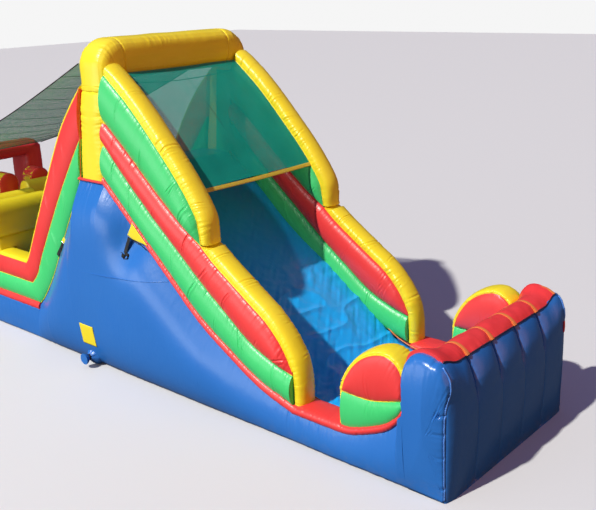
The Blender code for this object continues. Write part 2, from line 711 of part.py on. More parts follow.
def arch():
    levels = (GAP / LEG_HEIGHT, 0.5, 1 - GAP / LEG_HEIGHT)
    for label, side in SIDES:
        rings = []
        for share in levels:
            back = leg_back(share)
            centre = (back.x + PLATFORM_LENGTH / 2, side * Y_WALL)
            rings.append(rounded_ring(centre, PLATFORM_LENGTH / 2, WALL_HALF - GAP, LEG_ROUNDING, back.y))
        loft(f"arch_leg_{label}", rings, yellow_vinyl)
    outer_low, inner_low = Vector((Y_OUTER, LEG_TOP)), Vector((Y_INNER, LEG_TOP))
    outer = [outer_low] + arc(Vector((Y_OUTER - BEAM_CORNER, ARCH_HEIGHT - BEAM_CORNER)), BEAM_CORNER, 0, 90,
                              ARCH_CORNER_STEPS)
    inner = [inner_low] + arc(Vector((Y_INNER - BEAM_INNER_CORNER, BEAM_UNDERSIDE - BEAM_INNER_CORNER)),
                              BEAM_INNER_CORNER, 0, 90, ARCH_CORNER_STEPS)
    middle = (Vector((0.0, ARCH_HEIGHT)), Vector((0.0, BEAM_UNDERSIDE)))
    pairs = [*zip(outer, inner), middle]
    pairs += [(Vector((-a.x, a.y)), Vector((-b.x, b.y))) for a, b in reversed(pairs[:-1])]
    x_middle = X_TOWER + PLATFORM_LENGTH / 2 + ARCH_LEAN
    rings = []
    for low_point, high_point in ((b, a) for a, b in pairs):
        front, back = [], []
        for share in BEAM_SECTION_SHARES:
            bulge = (1 - BEAM_EDGE_SHARE) * (1 - (2 * share - 1) ** 4) ** 0.5
            half = PLATFORM_LENGTH / 2 * (BEAM_EDGE_SHARE + bulge)
            point = low_point.lerp(high_point, share)
            front.append(Vector((x_middle + half, point.x, point.y)))
            back.append(Vector((x_middle - half, point.x, point.y)))
        rings.append(front + back[::-1])
    loft("arch_beam", rings, yellow_vinyl)


# Nets


def net(name, edge_line, half_width, sag, material=green_net):
    """A thin net between its two long edges, its middle hanging lower than they do."""
    rings = []
    last = len(edge_line) - 1
    for index, point in enumerate(edge_line):
        depth = sag * math.sin(math.pi * index / last) ** 0.5 if 0 < index < last else 0.0
        top, under = [], []
        for step in range(NET_STEPS + 1):
            y_share = -1 + 2 * step / NET_STEPS
            z = point.y - depth * (1 - y_share ** 2)
            top.append(Vector((point.x, y_share * half_width, z + NET_THICKNESS / 2)))
            under.append(Vector((point.x, y_share * half_width, z - NET_THICKNESS / 2)))
        rings.append(top + under[::-1])
    return loft(name, rings, material)


def nets():
    half = Y_WALL - SEAM_HALF - GAP
    lift = NET_THICKNESS / 2 + 3 * GAP
    edge = offset_line(upper_seam, lift)
    last = max(index for index, point in enumerate(edge) if point.x < X_CREST + NET_SHARE * SLIDE_RUN)
    direction = (edge[last + 1] - edge[last]).normalized()
    end = edge[last].lerp(edge[last + 1], (X_CREST + NET_SHARE * SLIDE_RUN - edge[last].x)
                          / (edge[last + 1].x - edge[last].x))
    net("slide_net", drawn_in([*edge[:last + 1], end]), half, SLIDE_NET_SAG)
    start = end + direction * GAP
    strap = [start - Vector((0.0, STRAP_THICKNESS / 2)),
             start + direction * STRAP_WIDTH - Vector((0.0, STRAP_THICKNESS / 2))]
    sheet("net_strap", strap, half, STRAP_THICKNESS, yellow_webbing)
    beam_back = X_TOWER + ARCH_LEAN
    canopy = []
    steps = 9
    start, end = Vector((beam_back - GAP, LEG_TOP + CANOPY_RISE)), Vector((X_BAY + GAP, CANOPY_END))
    for step in range(steps):
        share = step / (steps - 1)
        point = start.lerp(end, share)
        canopy.append(point - Vector((0.0, CANOPY_SAG * math.sin(math.pi * share))))
    net("canopy_net", canopy, Y_OUTER - ROUNDING, CANOPY_DROOP)


# Bay obstacles


def roll_wall(name, x_middle, thickness, y_low, y_high, base, top):
    """A wall of stacked rolls, pinched at each seam between them and at its two ends."""
    rows = [base, *(base + (top - base) * (i + 1) / ROLL_COUNT for i in range(ROLL_COUNT))]
    front = []
    for low, high in zip(rows, rows[1:]):
        for share in (0.0, 0.15, 0.5, 0.85):
            reach = thickness / 2 - ROLL_PINCH * (1 - math.sqrt(1 - (2 * share - 1) ** 2))
            front.append((reach, low + (high - low) * share))
    front += [(thickness * 0.3, top - ROLL_PINCH * 0.2), (thickness * 0.12, top)]
    rings = []
    width = y_high - y_low
    for share, scale in ((0.0, 0.72), (0.03, 0.92), (0.1, 1.0), (0.9, 1.0), (0.97, 0.92), (1.0, 0.72)):
        y = y_low + width * share
        drop = (1 - scale) * thickness / 2
        right = [Vector((x_middle + reach * scale, y, z - drop * (z - base) / (top - base)))
                 for reach, z in front]
        left = [Vector((x_middle - reach * scale, y, z - drop * (z - base) / (top - base)))
                for reach, z in front]
        rings.append(right + left[::-1])
    return loft(name, rings, yellow_vinyl)


def bay():
    floor = BAY_FLOOR_HEIGHT + GAP
    cross_x = X_CORNER - CROSS_WALL_DISTANCE - CROSS_WALL_THICKNESS / 2
    wall = roll_wall("cross_wall", cross_x, CROSS_WALL_THICKNESS, -CROSS_WALL_REACH, CROSS_WALL_REACH, floor,
                     CROSS_WALL_TOP)
    over = CROSS_WALL_THICKNESS
    rim_top = LOW_WALL_TOP + RIM_THICKNESS + 4 * GAP
    for label, side in SIDES:
        shoulder = ((side * (Y_INNER - GAP), 0.0), (side * (Y_OUTER + over), 0.0),
                    (side * (Y_OUTER + over), rim_top), (side * (Y_INNER - GAP), rim_top))
        cut(wall, outline_solid(f"shoulder_cut_{label}", shoulder, 2 * over, facing_x(cross_x), yellow_vinyl,
                                collection=cutters))
    spring = BAY_FLOOR_HEIGHT + CRAWL_HEIGHT - CRAWL_WIDTH / 2
    mouth = [Vector((-CRAWL_WIDTH / 2, 0.0)), Vector((CRAWL_WIDTH / 2, 0.0))]
    mouth += arc(Vector((0.0, spring)), CRAWL_WIDTH / 2, 0, 180, 2 * ARC_STEPS)
    cut(wall, outline_solid("crawl_cut", mouth, 2 * over, facing_x(cross_x), yellow_vinyl, collection=cutters))
    half_x = cross_x - HALF_WALL_DISTANCE
    roll_wall("half_wall_right", half_x, HALF_WALL_THICKNESS, -Y_INNER + GAP, RIGHT_HALF_WALL_END, floor,
              HALF_WALL_TOP)
    roll_wall("half_wall_left", half_x - HALF_WALL_PITCH, HALF_WALL_THICKNESS, LEFT_HALF_WALL_END,
              Y_INNER - GAP, floor, HALF_WALL_TOP)
    post_x = half_x - HALF_WALL_PITCH - HALF_WALL_THICKNESS / 2 - POST_DISTANCE - POST_DEPTH / 2
    for label, side in SIDES:
        middle = POST_PAIR_MIDDLE + side * POST_OFFSET
        radius = POST_WIDTH / 2
        outline = [Vector((middle + radius, floor))]
        outline += arc(Vector((middle, POST_TOP - radius)), radius, 0, 180, 2 * ARC_STEPS)
        outline.append(Vector((middle - radius, floor)))
        outline_solid(f"post_{label}", outline, POST_DEPTH, facing_x(post_x), red_vinyl)
    spring_inner = Y_OUTER - ENTRANCE_LEG
    base = REAR_RAIL_HEIGHT
    outline = [Vector((spring_inner, base)), Vector((Y_OUTER, base))]
    outline += arc(Vector((Y_OUTER - ROUNDING, ENTRANCE_TOP - ROUNDING)), ROUNDING, 0, 90, 3)
    outline += arc(Vector((ROUNDING - Y_OUTER, ENTRANCE_TOP - ROUNDING)), ROUNDING, 90, 180, 3)
    outline += [Vector((-Y_OUTER, base)), Vector((-spring_inner, base))]
    outline += [Vector((-spring_inner, ENTRANCE_HEADER)), Vector((spring_inner, ENTRANCE_HEADER))]
    depth = ENTRANCE_DEPTH - 2 * GAP
    outline_solid("entrance_arch", outline, depth, facing_x(X_REAR + ENTRANCE_DEPTH / 2), red_vinyl)


# Tethers


FACING_OUT = Matrix(((0, 0, 1, 0), (0, 1, 0, 0), (-1, 0, 0, 0), (0, 0, 0, 1)))


def hang_frame(anchor, side, lean, tilt):
    """Local X points away from the side, local Y down along the webbing and local Z along the hinge."""
    down = Vector((-math.sin(lean) * math.cos(tilt), side * math.sin(tilt), -math.cos(lean) * math.cos(tilt)))
    outward = Vector((0.0, side, 0.0))
    outward = (outward - down * outward.dot(down)).normalized()
    hinge = outward.cross(down)
    frame = Matrix((outward, down, hinge)).transposed().to_4x4()
    frame.translation = anchor
    return frame


def ribbon_sides(path, thickness):
    return offset_line(path, thickness / 2), offset_line(path, -thickness / 2)


def rolled_end(start, turns, radius, pitch):
    """A run of webbing from start down to a roll, wound outwards in a spiral."""
    outer = radius + pitch * turns
    centre = Vector((start.x + outer, start.y + TETHER_RUN))
    path = [start, Vector((start.x, start.y + TETHER_RUN * 0.5))]
    steps = 12 * turns
    for step in range(steps + 1):
        angle = math.pi - 2 * math.pi * turns * step / steps
        reach = outer - pitch * turns * step / steps
        path.append(centre + Vector((math.cos(angle), math.sin(angle))) * reach)
    return path


def eye_arc(radius, half_thickness):
    spread = math.degrees(math.asin(half_thickness / radius))
    return arc(Vector((0.0, 0.0)), radius, 90 + spread, 450 - spread, 2 * ARC_STEPS)


def patch(name, anchor, side, lean, corners):
    """A yellow patch flat on the side, from its narrow end just below the anchor to two far corners."""
    middle = Vector((anchor.x, side * (Y_OUTER + GAP + PATCH_THICKNESS / 2), anchor.z))
    plate = hang_frame(middle, side, lean, 0.0) @ FACING_OUT
    end, foot = STAPLE_WIDTH / 2 + LINK_WIRE / 2 + GAP, LINK_WIRE
    far = [plate.inverted() @ Vector((corner.x, middle.y, corner.y)) for corner in corners]
    far.sort(key=lambda corner: -corner.x)
    outline = [(-end, foot), (end, foot), *(corner.xy for corner in far)]
    return outline_solid(name, outline, PATCH_THICKNESS, plate, yellow_vinyl)


def join(piece, added):
    """The union of a piece with one that is hidden."""
    added.hide_render = True
    added.display_type = "WIRE"
    boolean = piece.modifiers.new(added.name, "BOOLEAN")
    boolean.operation = "UNION"
    boolean.solver = "EXACT"
    boolean.object = added


def tab(name, frame, eye_radius, hole):
    """A tab with an eye round the frame's Z."""
    half = WEB_THICKNESS / 2
    outline = [(-half, -TAB_LENGTH)]
    outline += [(p.x, -p.y) for p in eye_arc(eye_radius, half)]
    outline.append((half, -TAB_LENGTH))
    return outline_solid(name, outline, WEB_WIDTH, frame, yellow_vinyl, holes=(hole,), collection=cutters)


def wire(name, loop, frame, cyclic, material, collection=parts):
    """A round wire along points given as distances along the frame's Z and Y, and X where there are three."""
    curve = bpy.data.curves.new(name, "CURVE")
    curve.dimensions = "3D"
    curve.bevel_depth = LINK_WIRE / 2
    curve.bevel_resolution = 2
    curve.use_fill_caps = not cyclic
    spline = curve.splines.new("POLY")
    spline.points.add(len(loop) - 1)
    for target, (along, down, out) in zip(spline.points, loop):
        target.co = (out, down, along, 1.0)
    spline.use_cyclic_u = cyclic
    piece = add_part(name, meshed(curve), material, collection)
    piece.matrix_world = frame
    return piece


def link(name, frame):
    """A steel link whose first bar lies on the frame's Z."""
    radius = LINK_WIRE
    loop = []
    for corner_x, corner_y, start in ((1, 0, -90), (1, 1, 0), (-1, 1, 90), (-1, 0, 180)):
        middle = Vector((corner_x * (LINK_WIDTH / 2 - radius), radius + corner_y * (LINK_PITCH - 2 * radius)))
        loop.extend((p.x, p.y, 0.0) for p in arc(middle, radius, start, start + 90, 3))
    wire(name, loop, frame, True, steel)


def webbing(name, path, frame, eye_radius, hole):
    """A strap on edge along a path, with an eye round the frame's Z."""
    left, right = ribbon_sides(path, WEB_THICKNESS)
    outline = right[1:] + left[:0:-1] + eye_arc(eye_radius, WEB_THICKNESS / 2)
    outline_solid(name, outline, WEB_WIDTH, frame, black_webbing, holes=(hole,))


def tethers(label, side):
    """The tether on the slide's side, on a link, and the shorter strap on the climb's side."""
    eye_hole = LINK_WIRE / 2 + EYE_CLEARANCE
    eye_radius = eye_hole + WEB_THICKNESS
    hole = arc(Vector((0.0, 0.0)), eye_hole, 0, 330, 11)
    start = Vector((0.0, math.sqrt(eye_radius ** 2 - (WEB_THICKNESS / 2) ** 2)))

    x = X_CREST + TETHER_SHARE * SLIDE_RUN
    corners = [Vector((x + reach, height_on(foot_line, x + reach)))
               for reach in (PATCH_SETBACK, PATCH_SETBACK + PATCH_LENGTH)]
    anchor = Vector((x, side * (Y_OUTER + GAP + eye_radius), height_on(foot_line, x) - TETHER_DROP))
    frame = hang_frame(anchor, side, TETHER_LEAN, TETHER_TILT)
    plate = patch(f"tether_patch_{label}", anchor, side, TETHER_LEAN, corners)
    join(plate, tab(f"tether_tab_{label}", frame, eye_radius, hole))
    link(f"tether_link_{label}", frame)
    path = rolled_end(start, TETHER_TURNS, TETHER_ROLL_RADIUS, TETHER_PITCH)
    webbing(f"tether_strap_{label}", path, frame @ Matrix.Translation((0.0, LINK_PITCH, 0.0)), eye_radius, hole)

    x = X_CORNER + CLIMB_STRAP_SHARE * CLIMB_RUN
    y = side * (Y_OUTER + 2 * GAP + PATCH_THICKNESS + eye_radius)
    anchor = Vector((x, y, height_on(climb_rail, x) - CLIMB_STRAP_DROP))
    frame = hang_frame(anchor, side, CLIMB_STRAP_LEAN, CLIMB_STRAP_TILT)
    up, across = -frame.col[1].xz.normalized(), frame.col[2].xz.normalized() * SMALL_PATCH_WIDTH / 2
    corners = [anchor.xz + up * SMALL_PATCH_HEIGHT + across * sign for sign in (-1, 1)]
    plate = patch(f"climb_patch_{label}", anchor, side, CLIMB_STRAP_LEAN, corners)
    reach, depth = STAPLE_WIDTH / 2, -abs(anchor.y) + Y_OUTER + PATCH_THICKNESS / 2
    staple = ((reach, 0.0, depth), (reach, 0.0, 0.0), (-reach, 0.0, 0.0), (-reach, 0.0, depth))
    join(plate, wire(f"climb_staple_{label}", staple, frame, False, yellow_vinyl, cutters))
    path = [start, start + Vector((0.0, CLIMB_STRAP_LENGTH))]
    webbing(f"climb_strap_{label}", path, frame, eye_radius, hole)


def blower_sleeve():
    x = X_TOWER - SLEEVE_POSITION_SHARE * PLATFORM_LENGTH + SLEEVE_RADIUS
    profile = [Vector((0.0, 0.0, SLEEVE_LENGTH))]
    profile += [Vector((r * SLEEVE_RADIUS, 0.0, d * SLEEVE_LENGTH)) for r, d in reversed(SLEEVE_SHARES)]
    profile.append(Vector((0.0, 0.0, 0.0)))
    mesh = bpy.data.meshes.new("blower_sleeve")
    mesh.from_pydata(profile, [(i, i + 1) for i in range(len(profile) - 1)], [])
    sleeve = add_part("blower_sleeve", mesh, blue_vinyl)
    screw = sleeve.modifiers.new("turned", "SCREW")
    screw.steps = TURN_STEPS
    screw.render_steps = TURN_STEPS
    screw.use_merge_vertices = True
    screw.merge_threshold = 0.0001
    frame = Matrix(((1, 0, 0, x), (0, 0, -1, -Y_OUTER - GAP), (0, 1, 0, SLEEVE_HEIGHT), (0, 0, 0, 1)))
    sleeve.matrix_world = frame


for label, side in SIDES:
    side_chamber(f"side_chamber_{label}", side)
    ledge(f"ledge_{label}", side)
    tethers(label, side)
slide_walls()
rear_walls()
bumpers()
centre_chambers()
rear_base()
end_wall()
arch()
nets()
bay()
blower_sleeve()
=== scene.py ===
import json
import math

import bpy
import numpy as np
from mathutils import Matrix, Vector


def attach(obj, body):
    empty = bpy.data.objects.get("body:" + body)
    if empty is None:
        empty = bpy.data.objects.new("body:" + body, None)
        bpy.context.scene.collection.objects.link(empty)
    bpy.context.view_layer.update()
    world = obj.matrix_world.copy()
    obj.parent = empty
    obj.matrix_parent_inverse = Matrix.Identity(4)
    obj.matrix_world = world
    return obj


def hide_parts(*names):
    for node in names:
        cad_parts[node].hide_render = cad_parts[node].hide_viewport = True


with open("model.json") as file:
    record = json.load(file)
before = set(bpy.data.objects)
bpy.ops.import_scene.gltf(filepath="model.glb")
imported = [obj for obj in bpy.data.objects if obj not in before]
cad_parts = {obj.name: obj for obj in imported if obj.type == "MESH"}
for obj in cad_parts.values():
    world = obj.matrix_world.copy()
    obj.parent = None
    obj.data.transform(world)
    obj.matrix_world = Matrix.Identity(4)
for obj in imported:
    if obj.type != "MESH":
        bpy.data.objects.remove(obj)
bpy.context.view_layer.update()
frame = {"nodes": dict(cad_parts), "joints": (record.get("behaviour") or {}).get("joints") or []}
bpy.ops.object.select_all(action="DESELECT")

# Stations along the slide, planes across it and heights, in metres, as the solids have them
X_REAR, X_BAY, X_CORNER, X_TOWER, X_CREST = -6.55, -5.85, -1.70, -0.11, 0.51
X_WALL_END, X_END_WALL, X_FRONT = 4.18, 6.00, 6.55
Y_OUTER, Y_INNER, Y_WALL, SEAM_HALF = 1.50, 1.10, 1.30, 0.16
PLATFORM, LANDING_RAIL, REAR_RAIL, BAY_FLOOR = 3.05, 0.44, 0.64, 0.35
LEG_HEIGHT, ARCH_LEAN, ARCH_TOP, BEAM_UNDERSIDE = 1.45, 0.20, 5.17, 4.56
SIDES = (("right", -1), ("left", 1))

# The camera fitted to the photograph: degrees, metres and millimetres
AZIMUTH, ELEVATION, ROLL = 40.966, 15.92, -1.814
CAMERA_PLACE, SENSOR, LENS, SHIFT = (11.243, -9.010, 5.812), 36.0, 52.56, (-0.0337, -0.0371)


def photo_camera():
    azimuth, elevation, roll = (math.radians(angle) for angle in (AZIMUTH, ELEVATION, ROLL))
    forward = Vector((-math.sin(azimuth) * math.cos(elevation), math.cos(azimuth) * math.cos(elevation),
                      -math.sin(elevation)))
    level = Vector((math.cos(azimuth), math.sin(azimuth), 0.0))
    above = level.cross(forward)
    right = level * math.cos(roll) + above * math.sin(roll)
    up = above * math.cos(roll) - level * math.sin(roll)
    place = Matrix((right, up, -forward)).transposed().to_4x4()
    place.translation = CAMERA_PLACE
    bpy.ops.object.camera_add()
    camera = bpy.context.object
    camera.name = "photo_camera"
    camera.matrix_world = place
    camera.data.sensor_width, camera.data.lens = SENSOR, LENS
    camera.data.shift_x, camera.data.shift_y = SHIFT
    bpy.context.scene.camera = camera


photo_camera()


# Noise, lines and folds


def eased(x, low=0.0, width=1.0):
    """A smooth step from 0 to 1, as x goes on from low by a width."""
    x = np.clip((x - low) / width, 0.0, 1.0)
    return x * x * (3.0 - 2.0 * x)


def hump(x, middle, width):
    """1 at the middle, falling off smoothly on both sides."""
    return np.exp(-((x - middle) / width) ** 2)


def spots(*parts):
    """Points from their places along, across and up, spread to one shape."""
    return np.stack(np.broadcast_arrays(*parts), axis=-1)


def unit(ways):
    return ways / (np.linalg.norm(ways, axis=-1, keepdims=True) + 1e-9)


def closed(upper, *under):
    """Rows joined to a ring, its first row repeated at the end."""
    return np.concatenate([upper, *under, upper[:1]])


def noise_line(x, seed):
    """Smooth noise from -1 to 1, one free value per unit of x."""
    cells = 4096
    values = np.random.default_rng(seed).uniform(-1.0, 1.0, cells)
    cell = np.floor(x).astype(int)
    step = eased(x - cell)
    return values[cell % cells] * (1.0 - step) + values[(cell + 1) % cells] * step


def noise_sheet(x, y, seed):
    """Smooth noise from -1 to 1 over a plane."""
    cells = 256
    values = np.random.default_rng(seed).uniform(-1.0, 1.0, (cells, cells))
    column, row = np.floor(x).astype(int), np.floor(y).astype(int)
    s, t = eased(x - column), eased(y - row)
    here, beyond = column % cells, (column + 1) % cells
    low, high = (values[here, line % cells] * (1.0 - s) + values[beyond, line % cells] * s
                 for line in (row, row + 1))
    return low * (1.0 - t) + high * t


def smooth_line(points, count):
    """A smooth line through the points, as count points in equal steps along it."""
    points = np.asarray(points, float)
    ends = np.vstack([2 * points[0] - points[1], points, 2 * points[-1] - points[-2]])
    t = np.linspace(0.0, 1.0, 24, endpoint=False)[:, None]
    fine = []
    for before, start, end, after in zip(ends, ends[1:], ends[2:], ends[3:]):
        fine.append(0.5 * (2 * start + (end - before) * t
                           + (2 * before - 5 * start + 4 * end - after) * t ** 2
                           + (3 * start - before - 3 * end + after) * t ** 3))
    return resampled(np.vstack([*fine, points[-1:]]), count)


def resampled(line, count):
    travelled = lengths_along(line)
    steps = np.linspace(0.0, travelled[-1], count)
    return spots(*(np.interp(steps, travelled, axis) for axis in line.T))


def lengths_along(line):
    return np.concatenate([[0.0], np.cumsum(np.linalg.norm(np.diff(line, axis=0), axis=1))])


def left_of(line):
    """Unit vectors to the left of a line's direction."""
    ahead = unit(np.gradient(line, axis=0))
    return spots(-ahead[:, 1], ahead[:, 0])


def gathers(along, away, pitch, depth, reach, seed):
    """Puckers that start at a seam and run out square to it, in uneven clusters."""
    lean = 0.35 * noise_line(along / 0.25, seed + 1)
    place = (along + lean * away) / pitch
    folds = 0.65 * noise_line(place, seed) + 0.35 * noise_line(place * 2.3, seed + 2)
    cluster = 0.30 + 0.70 * eased(0.5 + 0.8 * noise_line(along / (7.0 * pitch), seed + 3))
    span = reach * (0.55 + 0.90 * noise_line(place * 0.6, seed + 4) ** 2)
    return depth * folds * cluster * hump(away, 0.0, span)


def crease_places(length, spacing, depth, seed):
    """Folds across a band: place, slant, where each starts and ends across it, depth and width."""
    draw = np.random.default_rng(seed)
    places = []
    position = spacing * draw.uniform(0.3, 0.9)
    while position < length - 0.05:
        start, end = -0.2, 1.2
        if draw.random() < 0.5:
            end = draw.uniform(0.45, 1.0)
        else:
            start = draw.uniform(0.0, 0.5)
        slant, deep = draw.uniform(-0.16, 0.16), depth * draw.uniform(0.5, 1.2)
        width = draw.uniform(0.008, 0.015)
        places.append((position, slant, start, end, deep, width))
        if draw.random() < 0.45:
            places.append((position + draw.uniform(0.05, 0.09), slant * 0.5, start,
                           start + (end - start) * 0.7, deep * 0.6, width * 0.8))
        position += spacing * draw.uniform(0.6, 1.5)
    return places


def creases(along, share, places):
    """Narrow valleys with a raised lip beside each."""
    lift = np.zeros(np.broadcast(along, share).shape)
    for place, slant, start, end, depth, width in places:
        bend = 0.03 * np.sin(3.0 * share + place * 7.0)
        off = (along - place - slant * (share - 0.5) - bend) / width
        window = eased(share, start, 0.2) * eased((end - share) / 0.2)
        lips = 0.6 * hump(off, 1.9, 1.4) + 0.35 * hump(off, -1.9, 1.4)
        lift += depth * window * (lips - hump(off, 0.0, 1.0))
    return lift


# Making and finishing a piece

MERGE_DISTANCE, SMOOTH_ANGLE, CUT_SMOOTH_ANGLE = 0.0002, 52, 40


def select_only(piece):
    bpy.ops.object.select_all(action="DESELECT")
    piece.select_set(True)
    bpy.context.view_layer.objects.active = piece


def in_edit_mode(piece, *steps):
    select_only(piece)
    bpy.ops.object.mode_set(mode="EDIT")
    bpy.ops.mesh.select_all(action="SELECT")
    for step in steps:
        step()
    bpy.ops.object.mode_set(mode="OBJECT")


def merge_doubles():
    bpy.ops.mesh.remove_doubles(threshold=MERGE_DISTANCE)


def close_holes():
    bpy.ops.mesh.fill_holes(sides=0)
    bpy.ops.mesh.quads_convert_to_tris(quad_method="BEAUTY", ngon_method="BEAUTY")


def face_outwards():
    bpy.ops.mesh.normals_make_consistent(inside=False)


def smoothed(piece, degrees):
    select_only(piece)
    bpy.ops.object.shade_smooth_by_angle(angle=math.radians(degrees))


def finish(piece, material, *nodes, body="structure"):
    piece.data.materials.clear()
    piece.data.materials.append(material)
    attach(piece, body)
    if nodes:
        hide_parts(*nodes)
    return piece


def drawn_shut(points, seam, bulge):
    """A ring grid and its seam mask, carried on past the last column and drawn in to a bulging face."""
    angles = np.linspace(0.0, math.pi / 2, 10)[1:]
    end = points[:, -1]
    centre = end[:-1].mean(axis=0)
    ahead = unit(centre - points[:-1, -2].mean(axis=0))
    face = (centre + (end - centre)[:, None] * (np.cos(angles) ** 0.7)[:, None]
            + ahead * (bulge * np.sin(angles))[:, None])
    face[:, -1] = centre + ahead * bulge
    return np.hstack([points, face]), np.hstack([seam, seam[:, -1:] * np.cos(angles)])


def surface(name, points, seam=None, ring=True):
    """A grid shaped to an array of points: rows round the piece, columns along it. UVs are in metres."""
    rows, columns = points.shape[:2]
    bpy.ops.mesh.primitive_grid_add(x_subdivisions=columns - 1, y_subdivisions=rows - 1, size=1.0,
                                    calc_uvs=True)
    piece = bpy.context.object
    mesh = piece.data
    piece.name = mesh.name = name
    mesh.vertices.foreach_set("co", points.reshape(-1))
    along, around = lengths_along(points[rows // 4]), lengths_along(points[:, columns // 2])
    corner = np.empty(len(mesh.loops), int)
    mesh.loops.foreach_get("vertex_index", corner)
    uv = spots(along[corner % columns], around[corner // columns])
    mesh.uv_layers[0].data.foreach_set("uv", uv.reshape(-1))
    if seam is not None:
        layer = mesh.attributes.new("seam", "FLOAT", "POINT")
        layer.data.foreach_set("value", (seam * np.ones((rows, columns))).reshape(-1))
    mesh.update()
    if ring:
        in_edit_mode(piece, merge_doubles, close_holes, face_outwards)
    smoothed(piece, SMOOTH_ANGLE)
    return piece


def outward(points):
    """Unit normals of a ring grid of points, turned away from the middle of each ring."""
    rows = np.concatenate([points[-2:-1], points, points[1:2]])
    normal = unit(np.cross(np.gradient(points, axis=1), np.gradient(rows, axis=0)[1:-1]))
    return normal * np.sign((normal * (points - points.mean(axis=0))).sum())


def padded(name, points, seam, material, *nodes, lift=None, fill=0.97):
    """An air-filled piece: a ring grid of points, raised along its normals where a lift is given."""
    if lift is not None:
        lift[-1] = lift[0]
        points = points + outward(points) * lift[..., None]
    piece = surface(name, points, seam)
    return finish(piece, material, *nodes)


def bead(name, points, radius, material, sides=2):
    """A thin round cord sewn along a seam."""
    bpy.ops.curve.primitive_nurbs_path_add()
    curve = bpy.context.object.data
    curve.splines.clear()
    spline = curve.splines.new("POLY")
    spline.points.add(len(points) - 1)
    spline.points.foreach_set("co", np.hstack([points, np.ones((len(points), 1))]).reshape(-1))
    curve.dimensions, curve.use_fill_caps = "3D", True
    curve.bevel_depth, curve.bevel_resolution = radius, sides
    select_only(bpy.context.object)
    bpy.ops.object.convert(target="MESH")
    piece = bpy.context.object
    piece.name = name
    in_edit_mode(piece, merge_doubles, face_outwards)
    piece.data.shade_smooth()
    return finish(piece, material)


# Shader nodes


def feed(tree, made, inputs):
    """Links or sets a node's inputs, each from a socket or a value."""
    for label, source in dict(inputs).items():
        if isinstance(source, bpy.types.NodeSocket):
            tree.links.new(source, made.inputs[label])
        else:
            made.inputs[label].default_value = source


def node(tree, kind, inputs=(), **settings):
    made = tree.nodes.new(f"ShaderNode{kind}")
    for label, value in settings.items():
        setattr(made, label, value)
    feed(tree, made, inputs)
    return made


def maths(tree, operation, *values, clamp=False):
    return node(tree, "Math", enumerate(values), operation=operation, use_clamp=clamp).outputs[0]


def times(tree, *values):
    return maths(tree, "MULTIPLY", *values)


def noise_of(tree, vector, scale, detail, roughness, distortion=0.0):
    return node(tree, "TexNoise", {"Vector": vector, "Scale": scale, "Detail": detail, "Roughness": roughness,
                                   "Distortion": distortion}).outputs["Fac"]


def cells_of(tree, vector, scale, randomness, distance="EUCLIDEAN"):
    return node(tree, "TexVoronoi", {"Vector": vector, "Scale": scale, "Randomness": randomness},
                feature="F1", distance=distance).outputs["Distance"]


def stretched(tree, vector, scale):
    return node(tree, "Mapping", {"Vector": vector, "Scale": scale}).outputs[0]


def ramp(tree, value, low, high, to_low=0.0, to_high=1.0):
    return node(tree, "MapRange", {"Value": value, "From Min": low, "From Max": high, "To Min": to_low,
                                   "To Max": to_high}, interpolation_type="SMOOTHSTEP").outputs[0]


def mixed(tree, factor, *colours):
    """A mix of two colours, each from a socket or as its red, green and blue."""
    first, second = ((*colour, 1.0) if isinstance(colour, tuple) else colour for colour in colours)
    return node(tree, "Mix", {0: factor, 6: first, 7: second}, data_type="RGBA").outputs[2]


def bumped(tree, height, distance):
    return node(tree, "Bump", {"Height": height, "Distance": distance, "Strength": 1.0}).outputs[0]


def object_place(tree):
    return node(tree, "TexCoord").outputs["Object"]


def new_group(name, inputs, outputs):
    """A shader group, from the kind of each input and output; gives its inside ends too."""
    group = bpy.data.node_groups.new(name, "ShaderNodeTree")
    for way, sockets in (("INPUT", inputs), ("OUTPUT", outputs)):
        for label, kind in sockets.items():
            group.interface.new_socket(label, in_out=way, socket_type=f"NodeSocket{kind}")
    return group, group.nodes.new("NodeGroupInput").outputs, group.nodes.new("NodeGroupOutput")


def cloth_group():
    """Coated cloth: tone that drifts, a woven scrim under the coating, small crinkles and scuffs."""
    group, given, made = new_group("coated_cloth", {"Colour": "Color", "Faded": "Color", "Gloss": "Float"},
                                   {"Colour": "Color", "Roughness": "Float", "Height": "Float"})
    place = object_place(group)
    drift = ramp(group, noise_of(group, place, 1.3, 4.0, 0.55), 0.35, 0.72, 0.0, 0.15)
    scuffs = noise_of(group, stretched(group, place, (3.0, 9.0, 3.0)), 6.0, 6.0, 0.62)
    crinkle = times(group, noise_of(group, place, 11.0, 5.0, 0.55, 0.35), 0.00175)
    folds = noise_of(group, stretched(group, place, (1.0, 1.0, 0.35)), 5.0, 2.0, 0.5, 1.2)
    scrim = times(group, cells_of(group, place, 420.0, 0.15, "CHEBYCHEV"), 0.00006)
    feed(group, made, {
        "Colour": mixed(group, drift, given["Colour"], given["Faded"]),
        "Roughness": maths(group, "ADD", given["Gloss"], ramp(group, scuffs, 0.56, 0.80, 0.0, 0.10)),
        "Height": maths(group, "ADD", maths(group, "ADD", crinkle, times(group, folds, 0.003)), scrim)})
    return group


def gather_group():
    """Fine puckers square to a seam, read along the piece's own UVs and its seam mask."""
    group, _, made = new_group("seam_gathers", {}, {"Height": "Float"})
    split = node(group, "SeparateXYZ", {0: node(group, "UVMap").outputs[0]}).outputs
    pitch, depth = 0.024, 0.004
    place = node(group, "CombineXYZ", {0: maths(group, "DIVIDE", split[0], pitch),
                                       1: times(group, split[1], 3.0)})
    folds = noise_of(group, place.outputs[0], 1.0, 2.0, 0.6, 0.3)
    near = node(group, "Attribute", attribute_name="seam").outputs["Fac"]
    feed(group, made, {"Height": times(group, times(group, folds, near), depth)})
    return group


